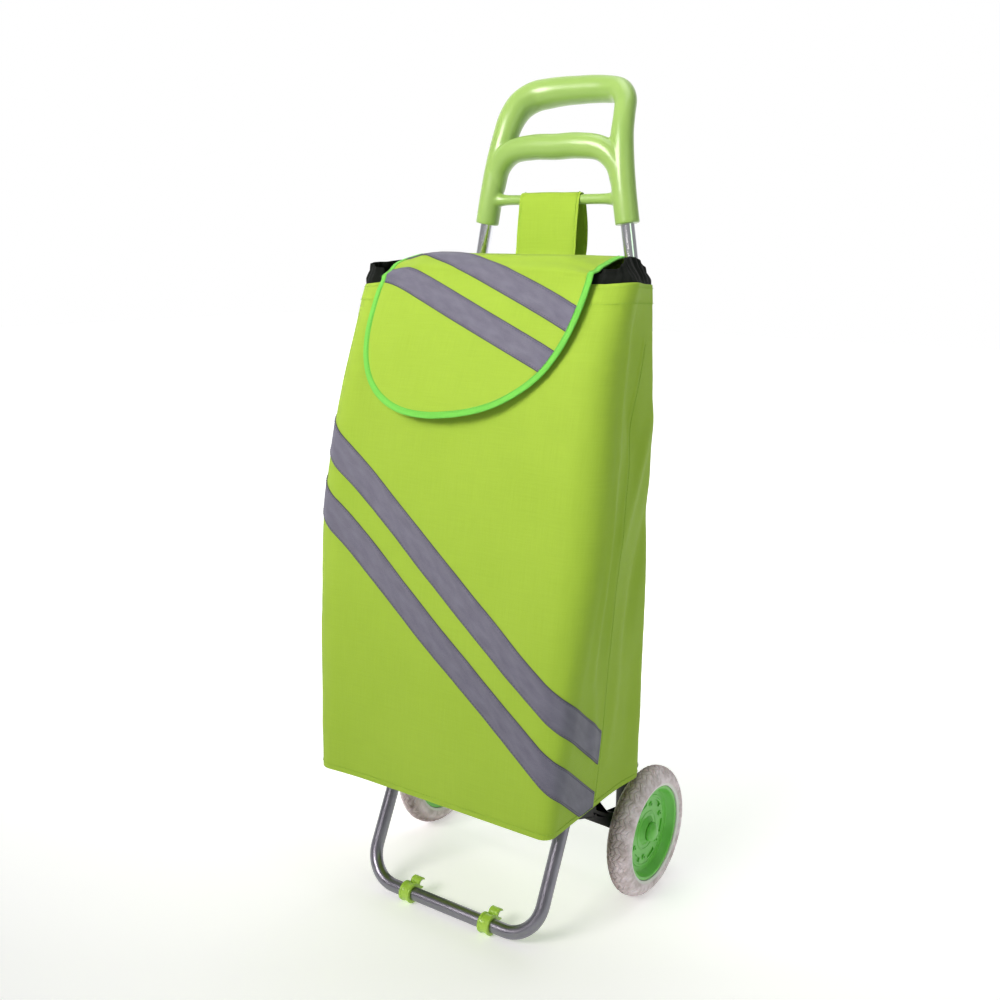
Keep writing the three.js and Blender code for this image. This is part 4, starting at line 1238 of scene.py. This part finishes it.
def make_handle(material, steel):
    """The moulded handle: a hoop bent back into the upper grip, a middle grip, and a slim bar."""
    mirror = np.array([-1, 1, 1])
    half = np.array([
        SOCKET, (lean_x(838), lean_y(838), 838), (85.2, 17, 872), (80.5, 24, 901), (77.5, 33, 923),
        (71.5, 45, 941), (58.5, 55, 951.5), (40, 60, 955), (18, 61, 956.5)])
    hoop = [*half, (0, 61, 956.5), *(half * mirror)[::-1]]
    arch = np.array([(88, 15, 843), (80, 14, 868), (62, 13, 884), (30, 12, 889)])
    middle = [*arch, (0, 12, 888.5), *(arch * mirror)[::-1]]
    bar_z, bar_half = 829.3, 88
    flare = 13 / 2.2

    def bar_radius(share):
        from_end = bar_half * (1 - abs(2 * share - 1))
        return 6.0 + 5.0 * math.exp(-max(from_end - 4, 0) / flare)

    def hoop_radius(share):
        slimmer = 2.7 * math.exp(-(((share - 0.29) / 0.09) ** 2))
        fuller = 2.3 * math.exp(-(((share - 0.64) / 0.1) ** 2))
        return 14 + 2 * math.sin(math.pi * share) ** 2 - slimmer + fuller

    skin = Skin()
    skin.grid(swept(hoop, hoop_radius), wrap=True)
    skin.grid(swept(middle, lambda u: 12.5 + 2.3 * math.sin(math.pi * u)), wrap=True)
    bar = [(-bar_half, 13, bar_z), (0, 13, bar_z), (bar_half, 13, bar_z)]
    skin.grid(swept(bar, bar_radius, side=(0, 1, 0)), wrap=True)
    handle = skin.made("handle_moulding", material)
    remesh = handle.modifiers.new("merge", "REMESH")
    remesh.mode = "VOXEL"
    remesh.voxel_size = 1.1 * MM
    soften = handle.modifiers.new("soften", "SMOOTH")
    soften.factor = 0.5
    soften.iterations = 14
    applied(handle)
    cutters = []
    for _, sign in SIDES:
        below, inside = (np.array([sign * lean_x(z), lean_y(z), z]) for z in (760, 836))
        end = SOCKET * (sign, 1, 1)
        cutters.append(solid(round_bar(below, end + (end - below) * 0.01, [0, 30, 30, 0], 24),
                             "below_socket", material))
        cutters.append(solid(round_bar(below, inside, [0, 8.25, 8.25, 0], 40), "bore", material))
    combined(handle, cutters, "DIFFERENCE")
    settle(shaded(handle, 38), "handle_plastic", "frame", "handle")
    for name, _ in SIDES:
        make_screw(f"handle_screw_{name}", 1, steel)


def make_screw(node, axis, material):
    """A domed head with a cross recess at the outer end of a screw's box, along X (0) or Y (1)."""
    low, high = box_mm(node)
    centre = (low + high) / 2
    outward = 1 if (axis == 1 or centre[0] > 0) else -1
    radius = (high[2] - low[2]) / 2
    length = high[axis] - low[axis]
    start = low[axis] if outward > 0 else high[axis]
    rows = np.array([(0, 0), (0, 0.5), (0.72, 0.5), (0.72, 1), (0.84, 0.93), (0.95, 0.62), (1, 0.36),
                     (0.86, 0.28), (0.86, 0)]) * (length, radius)
    a = np.linspace(0, 2 * math.pi, 40, endpoint=False)
    cross = 1 + 0.45 * np.cos(4 * a)
    rings = np.empty((len(rows), 40, 3))
    other = 1 - axis
    for i, (depth, size) in enumerate(rows):
        shaped_size = size * (cross if i >= 6 else 1)
        rings[i, :, axis] = start + outward * depth
        rings[i, :, other] = centre[other] + shaped_size * np.cos(a)
        rings[i, :, 2] = centre[2] + shaped_size * np.sin(a)
    settle(solid(rings, f"{node}_head", material), "zinc_steel", "frame", node)


# ---- foot clips -------------------------------------------------------------------------------
CLIP_RADIUS, CLIP_X, CLIP_WIDTH = 12, 58, 15
FOOT_BAR = np.array([-190, CLIP_RADIUS])
HOOK_REACH = 17.4                       # from the foot bar's centre to the hook's


def hook_angles():
    """The hook's direction from the bar, and the way it opens, so that it meets the axle when folded."""
    pivot = joint_mm("foot_fold")[1:]
    to_axle = np.array([0, WHEEL_RADIUS]) - pivot
    reach, leg = math.hypot(*to_axle), math.dist(FOOT_BAR, pivot)
    axle_angle = math.atan2(to_axle[1], to_axle[0])
    folded_hook = axle_angle + math.acos((reach**2 + HOOK_REACH**2 - leg**2) / (2 * reach * HOOK_REACH))
    folded_bar = to_axle - HOOK_REACH * np.array([math.cos(folded_hook), math.sin(folded_hook)])
    rest_bar = FOOT_BAR - pivot
    fold = math.atan2(folded_bar[1], folded_bar[0]) - math.atan2(rest_bar[1], rest_bar[0])
    return folded_hook - fold, axle_angle + math.pi / 2 - fold


def make_clips(material):
    """Each clip: a ring round the foot's bar with raised end bands, and an open hook for the axle."""
    bar_y, bar_z = FOOT_BAR
    hook, mouth = hook_angles()
    hook_y, hook_z = bar_y + HOOK_REACH * math.cos(hook), bar_z + HOOK_REACH * math.sin(hook)
    half = CLIP_WIDTH / 2
    edge = 0.7

    def disc(radius, y, z, width, use):
        return solid(turned(eased_rod(width, radius, edge), 0, y, z), use, material)

    rising = [(-half, 0), (-half, CLIP_RADIUS - 0.6), (-half + 0.5, CLIP_RADIUS), (-half + 2.6, CLIP_RADIUS),
              (-half + 3.4, CLIP_RADIUS - 1.1)]
    band = rising + [(-x, radius) for x, radius in reversed(rising)]
    for name, sign in SIDES:
        clip = solid(turned(band, 0, bar_y, bar_z), f"snap_clip_{name}_moulding", material)
        combined(clip, [disc(7, hook_y, hook_z, half - 0.8, "hook")], "UNION")
        reach = np.array([math.cos(mouth), math.sin(mouth)]) * 20
        wide = np.array([-math.sin(mouth), math.cos(mouth)]) * 4.4
        start = np.array([hook_y, hook_z])
        corners = [start - wide, start + reach - wide, start + reach + wide, start + wide]
        cutters = [disc(TUBE_RADIUS + 0.15, bar_y, bar_z, half + 3, "bore"),
                   disc(4.4, hook_y, hook_z, half + 3, "hollow"),
                   solid(outline_plate(corners, -half - 2, half + 2, 0.0), "mouth", material)]
        combined(clip, cutters, "DIFFERENCE")
        bevel = clip.modifiers.new("ease", "BEVEL")
        bevel.width = 0.45 * MM
        bevel.segments = 2
        bevel.limit_method = "ANGLE"
        bevel.angle_limit = math.radians(50)
        applied(clip)
        clip.data.transform(Matrix.Translation((sign * CLIP_X * MM, 0, 0)))
        settle(shaded(clip, 40), "clip_plastic", "foot", f"snap_clip_{name}")


# ---- wheel brackets ---------------------------------------------------------------------------
PLATE_INNER, PLATE_OUTER = 131.5, 141.5
BOSS_RADIUS = 15


def make_brackets(material, steel):
    """Side mouldings: a boss for the axle, a socket for the upright, and an arm to the foot's pivot."""
    pivot = joint_mm("foot_fold")
    wheel_z = WHEEL_RADIUS
    pad = BAG_BOTTOM - 1
    arm = rounded_path([(0, y, z) for y, z in (
        (4, wheel_z - 12), (-14, wheel_z - 5), (-55, 101), (pivot[1] + 2, pivot[2] - 9.5),
        (pivot[1] - 9.5, pivot[2] - 7.5), (pivot[1] - 9.5, pad), (pivot[1] + 25, pad), (pivot[1] + 31, 138),
        (-38, 112), (-16, 107), (13, 106), (15, wheel_z + 4), (4, wheel_z - 12))], 4, 6)[:-1, 1:]
    socket_top = box_mm("wheel_bracket_right")[1][2]

    pocket = [(-30, 104), (-56, 112), (pivot[1] + 24, pivot[2] - 12), (pivot[1] + 20, pivot[2] - 3),
              (pivot[1] + 34, 130), (-38, 106)]
    pocket = rounded_path([(0, *p) for p in [*pocket, pocket[0]]], 2, 4)[1:-1, 1:]
    socket_foot, over = 97, 12
    end = socket_top - socket_foot

    def pin(radius, y, z, x0, x1):
        middle, half = (x0 + x1) / 2, (x1 - x0) / 2
        profile = [(-half, 0), (-half, radius), (half, radius), (half, 0)]
        return solid(turned(profile, middle, y, z, 48), "pin", material)

    def boss(radius, y, z):
        half = (PLATE_OUTER - PLATE_INNER) / 2
        return solid(turned(eased_rod(half, radius, 0.8), PLATE_INNER + half, y, z, 56), "boss", material)

    def sleeve(depths, radii):
        foot, top = ((UPRIGHT_X, 0, z) for z in (socket_foot, socket_top))
        return solid(round_bar(foot, top, radii, 56, depths), "sleeve", material)

    for name, sign in SIDES:
        bracket = solid(outline_plate(arm, PLATE_INNER, PLATE_OUTER, 0.8), f"wheel_bracket_{name}_moulding",
                        material)
        recess = solid(outline_plate(pocket, PLATE_OUTER - 4, PLATE_OUTER + 3, 0.0), "recess", material)
        combined(bracket, [recess], "DIFFERENCE")
        body = sleeve([0, 0, 1, end - 9, end - 8, end - 1, end, end], [0, 11, 12, 12, 12, 12, 11.2, 0])
        band = sleeve([end - 10, end - 10, end - 9.2, end - 0.8, end - 0.4, end - 0.4],
                      [0, 12, 12, 12, 11.5, 0])
        combined(bracket, [body, band, boss(BOSS_RADIUS, 0, wheel_z), boss(9.3, pivot[1], pivot[2])], "UNION")
        hole = round_bar((UPRIGHT_X, lean_y(UPRIGHT_FOOT), UPRIGHT_FOOT - 0.3),
                         (UPRIGHT_X, lean_y(socket_top + over), socket_top + over), [0, 8.6, 8.6, 0], 48)
        hole = solid(hole, "hole", material)
        cutters = [hole, pin(4.3, 0, wheel_z, PLATE_INNER - 6, PLATE_OUTER + 6),
                   pin(3.3, pivot[1], pivot[2], PLATE_INNER - 6, PLATE_OUTER + 6),
                   pin(2.3, 1, 160, UPRIGHT_X + 7, UPRIGHT_X + 16)]
        combined(bracket, cutters, "DIFFERENCE")
        if sign < 0:
            bracket.data.transform(Matrix.Scale(-1, 4, (1, 0, 0)))
            bracket.data.flip_normals()
        settle(shaded(bracket, 36), "black_plastic", "frame", f"wheel_bracket_{name}")
        make_screw(f"bracket_screw_{name}", 0, steel)


# ---- wheels and axle --------------------------------------------------------------------------
TYRE_HALF = 15


def tyre_rings(sign):
    """A foam tyre: round-shouldered, with a shallow wavy tread of blocks between zigzag grooves."""
    segments = 720
    a = np.linspace(0, 2 * math.pi, segments, endpoint=False)
    u = np.linspace(-1, 1, 97)
    crown = WHEEL_RADIUS - 10.7 * np.abs(u) ** 2.5
    x = u * TYRE_HALF
    waves = 30
    zigzag = (2 / math.pi) * np.arcsin(np.sin(waves * a))[None, :]
    slope = 2.4
    reach = (x[:, None] + slope * zigzag) / 6.2
    along = np.abs(np.sin(math.pi * reach))
    blocks = np.abs(np.sin(waves * a[None, :] + math.pi / 4 + 0.9 * np.sin(2.2 * x[:, None] / 6)))
    groove = np.maximum(np.exp(-((along / 0.34) ** 2)), 0.75 * np.exp(-((blocks / 0.26) ** 2)))
    worn = np.clip((0.93 - np.abs(u)) / 0.18, 0, 1)[:, None]
    depth = 1.7 * groove * worn
    scallop = 0.35 * np.sin(2 * waves * a)[None, :] * np.exp(-(((np.abs(u) - 0.93) / 0.08) ** 2))[:, None]
    radius = np.minimum(crown[:, None] - depth + scallop, WHEEL_RADIUS)
    edge = RIM_RADIUS + 0.3

    def turned_rows(across, radii):
        radii = np.broadcast_to(radii, (len(across), segments))
        across = np.broadcast_to(np.asarray(across)[:, None], radii.shape)
        return np.stack([across, radii * np.cos(a), radii * np.sin(a)], -1)

    t = np.array([0.25, 0.5, 0.72, 0.86, 0.94, 1.0])
    wall_x = TYRE_HALF - 2 * t**2.2 + 0.5 * np.sin(math.pi * np.minimum(t, 0.8))
    wall_radii = (crown[-1] + (edge - crown[-1]) * t)[:, None]
    inner = turned_rows(-wall_x, wall_radii)[::-1]
    outer = turned_rows(wall_x, wall_radii)
    bore = turned_rows(np.linspace(TYRE_HALF - 2, 2 - TYRE_HALF, 5)[1:], edge)
    rings = np.concatenate([inner, turned_rows(x, radius), outer, bore])
    return rings * (sign, 1, 1) + (sign * WHEEL_X, 0, WHEEL_RADIUS)


def hub_piece(name, sign, material):
    """A dished moulded hub: a web with a raised ring, small vent holes, posts and a stepped boss."""
    y, z = 0, WHEEL_RADIUS
    bore = 6.6
    profile = np.array([
        (-15, bore), (-15, 12.2), (-14.2, 13), (-5, 15), (-3.4, 18), (-3, 45), (-5, 47), (-12, 49.5),
        (-12, RIM_RADIUS - 0.6), (-11.4, RIM_RADIUS), (11.4, RIM_RADIUS), (12, RIM_RADIUS - 0.5),
        (12, 55.0), (11.2, 54.0), (3.4, 51.0), (2.1, 49.6), (2.0, 44.5), (2.8, 43.9), (2.9, 41.5),
        (2.1, 40.9), (1.2, 24.5), (1.8, 23.9), (1.8, 22.3), (1.1, 21.6), (1.1, 18.0), (2.0, 16.6),
        (5.2, 13.6),
        (6, 12.8), (6, bore), (-15, bore)])
    hub = solid(turned(profile, sign * WHEEL_X, y, z, 128, sign), name, material, 30)
    posts, holes = [], []
    ring_radius = 33
    for k in range(6):
        a = math.radians(60 * k + 18)
        place = (y + ring_radius * math.cos(a), z + ring_radius * math.sin(a))
        post = [(-0.5, 0), (-0.5, 3.6), (2.7, 3.3), (3.3, 2.7), (3.3, 0)]
        hole = [(-9, 0), (-9, 1.7), (9, 1.7), (9, 0)]
        posts.append(solid(turned(post, sign * WHEEL_X, *place, 32, sign), "post", material))
        holes.append(solid(turned(hole, sign * WHEEL_X, *place, 24, sign), "hole", material))
    for k in range(6):
        a = np.radians(60 * k - 12 + np.linspace(-13, 13, 15))
        arc = np.column_stack([np.cos(a), np.sin(a)])
        outline = np.concatenate([39 * arc, 33.5 * arc[::-1]])
        rings = outline_plate(outline + (y, z), 0.3, 6.0, 0.0)
        rings[..., 0] = sign * (WHEEL_X + rings[..., 0])
        holes.append(solid(rings, "slot", material))
    combined(hub, posts, "UNION")
    combined(hub, holes, "DIFFERENCE")
    return shaded(hub, 30)


def make_wheels(tyre_material, hub_material, nylon, steel):
    for name, sign in SIDES:
        body = f"wheel_{name}"
        tyre = solid(tyre_rings(sign), f"tyre_{name}_foam", tyre_material, 50)
        settle(tyre, "tyre_foam", body, f"tyre_{name}")
        hub = hub_piece(f"hub_{name}_moulding", sign, hub_material)
        settle(hub, "hub_plastic", body, f"hub_{name}")
        bush = chamfered([(-15, 4.3), (-15, 6.3), (6, 6.3), (6, 4.3)])
        bush = solid(turned(bush, sign * WHEEL_X, 0, WHEEL_RADIUS, 48, sign),
                     f"wheel_bush_{name}_nylon", nylon)
        settle(bush, "bush_nylon", body, f"wheel_bush_{name}")
        make_axle_end(name, sign, hub_material, steel)
    for node in ("axle", "foot_pivot_rod"):
        low, high = box_mm(node)
        y, z = (low + high)[1:] / 2
        rod = eased_rod((high[0] - low[0]) / 2, (high[2] - low[2]) / 2, 0.6)
        settle(solid(turned(rod, 0, y, z, 40), f"{node}_bright", steel), "zinc_steel", "frame", node)
    for name, _ in SIDES:
        node = f"pivot_washer_{name}"
        low, high = box_mm(node)
        y, z = (low + high)[1:] / 2
        spacer = chamfered([(0, 3.3), (0, 6), (0.8, 6), (0.8, 3.3)], 0.2)
        settle(solid(turned(spacer, low[0], y, z, 40), f"{node}_zinc", steel), "zinc_steel", "frame", node)


def make_axle_end(name, sign, cap_material, steel):
    """The washer between the bracket and the wheel, and the domed cap on the axle's end."""
    washer = chamfered([(0, 4.3), (0, 9), (1, 9), (1, 4.3)], 0.25)
    washer = solid(turned(washer, sign * (PLATE_OUTER + 1), 0, WHEEL_RADIUS, 48, sign),
                   f"axle_washer_{name}_zinc", steel)
    settle(washer, "zinc_steel", "frame", f"axle_washer_{name}")
    low, high = box_mm(f"axle_cap_{name}")
    inner = min(abs(low[0]), abs(high[0]))
    depth, radius = high[0] - low[0], (high[2] - low[2]) / 2
    dome = np.array([(0.3, 1), (0.45, 0.93), (0.75, 0.72), (0.93, 0.4), (1, 0)]) * (depth, radius)
    cap = [(0, 4.3), (0, radius - 0.4), (0.4, radius), *dome, (depth - 1, 0), (depth - 1, 4.3), (0, 4.3)]
    cap = solid(turned(cap, sign * inner, 0, WHEEL_RADIUS, 48, sign), f"axle_cap_{name}_dome", cap_material)
    settle(cap, "hub_plastic", "frame", f"axle_cap_{name}")


# ---- all together -----------------------------------------------------------------------------
add_camera()
add_studio()

lime = woven("lime_cloth", (0.36, 0.535, 0.055), (0.29, 0.455, 0.035))
edging = woven("edging_cloth", (0.19, 0.63, 0.09), (0.14, 0.52, 0.06), thread=0.7, rough=0.6)
black = woven("collar_nylon", (0.008, 0.010, 0.008), (0.004, 0.006, 0.004), thread=0.5, sheen=0.01, rough=0.7)
tape = ribbed_tape(BAG_TAPE_HEIGHT / 2 / math.hypot(1, BAG_TAPE_SLOPE))
flap_tape = ribbed_tape(FLAP_TAPE_HEIGHT / 2 / math.hypot(1, FLAP_TAPE_SLOPE))
lime_thread = woven("lime_thread", (0.36, 0.56, 0.07), (0.29, 0.48, 0.05), thread=0.3)
grey_thread = woven("grey_thread", (0.13, 0.13, 0.17), (0.08, 0.08, 0.11), thread=0.3)
edge_thread = woven("edge_thread", (0.22, 0.65, 0.12), (0.17, 0.56, 0.09), thread=0.3)
handle_plastic = moulded("handle_plastic", (0.29, 0.455, 0.11), (0.25, 0.41, 0.09), 0.3, coat=0.2)
clip_plastic = moulded("clip_plastic", (0.42, 0.66, 0.07), (0.36, 0.60, 0.055), 0.3, coat=0.2)
hub_plastic = moulded("hub_plastic", (0.155, 0.58, 0.07), (0.125, 0.50, 0.055), 0.34, coat=0.1)
black_plastic = moulded("black_plastic", (0.012, 0.012, 0.013), (0.007, 0.007, 0.008), 0.48, grain=0.05)
nylon = moulded("bush_nylon", (0.78, 0.76, 0.70), (0.70, 0.68, 0.62), 0.45)
chrome = plated("bright_steel", (0.80, 0.81, 0.84), (0.70, 0.71, 0.75), 0.1, draw=0.004)
satin = plated("satin_steel", (0.28, 0.275, 0.315), (0.22, 0.215, 0.25), 0.27, draw=0.02)
zinc = plated("zinc_steel", (0.62, 0.62, 0.60), (0.50, 0.50, 0.49), 0.34)

make_bag(lime)
make_bag_tapes(tape, grey_thread)
make_bag_sewing(lime_thread)
make_collar(black)
make_board(pressed_board())
make_flap_edging(edging, edge_thread)
make_flap(lime)
make_flap_tapes(flap_tape, grey_thread)
make_handle(handle_plastic, zinc)
make_carry_strap(lime, lime_thread)
make_tubes(chrome, satin)
make_rear_ties(lime, lime_thread)
make_clips(clip_plastic)
make_brackets(black_plastic, zinc)
make_wheels(foam("tyre_foam"), hub_plastic, nylon, zinc)
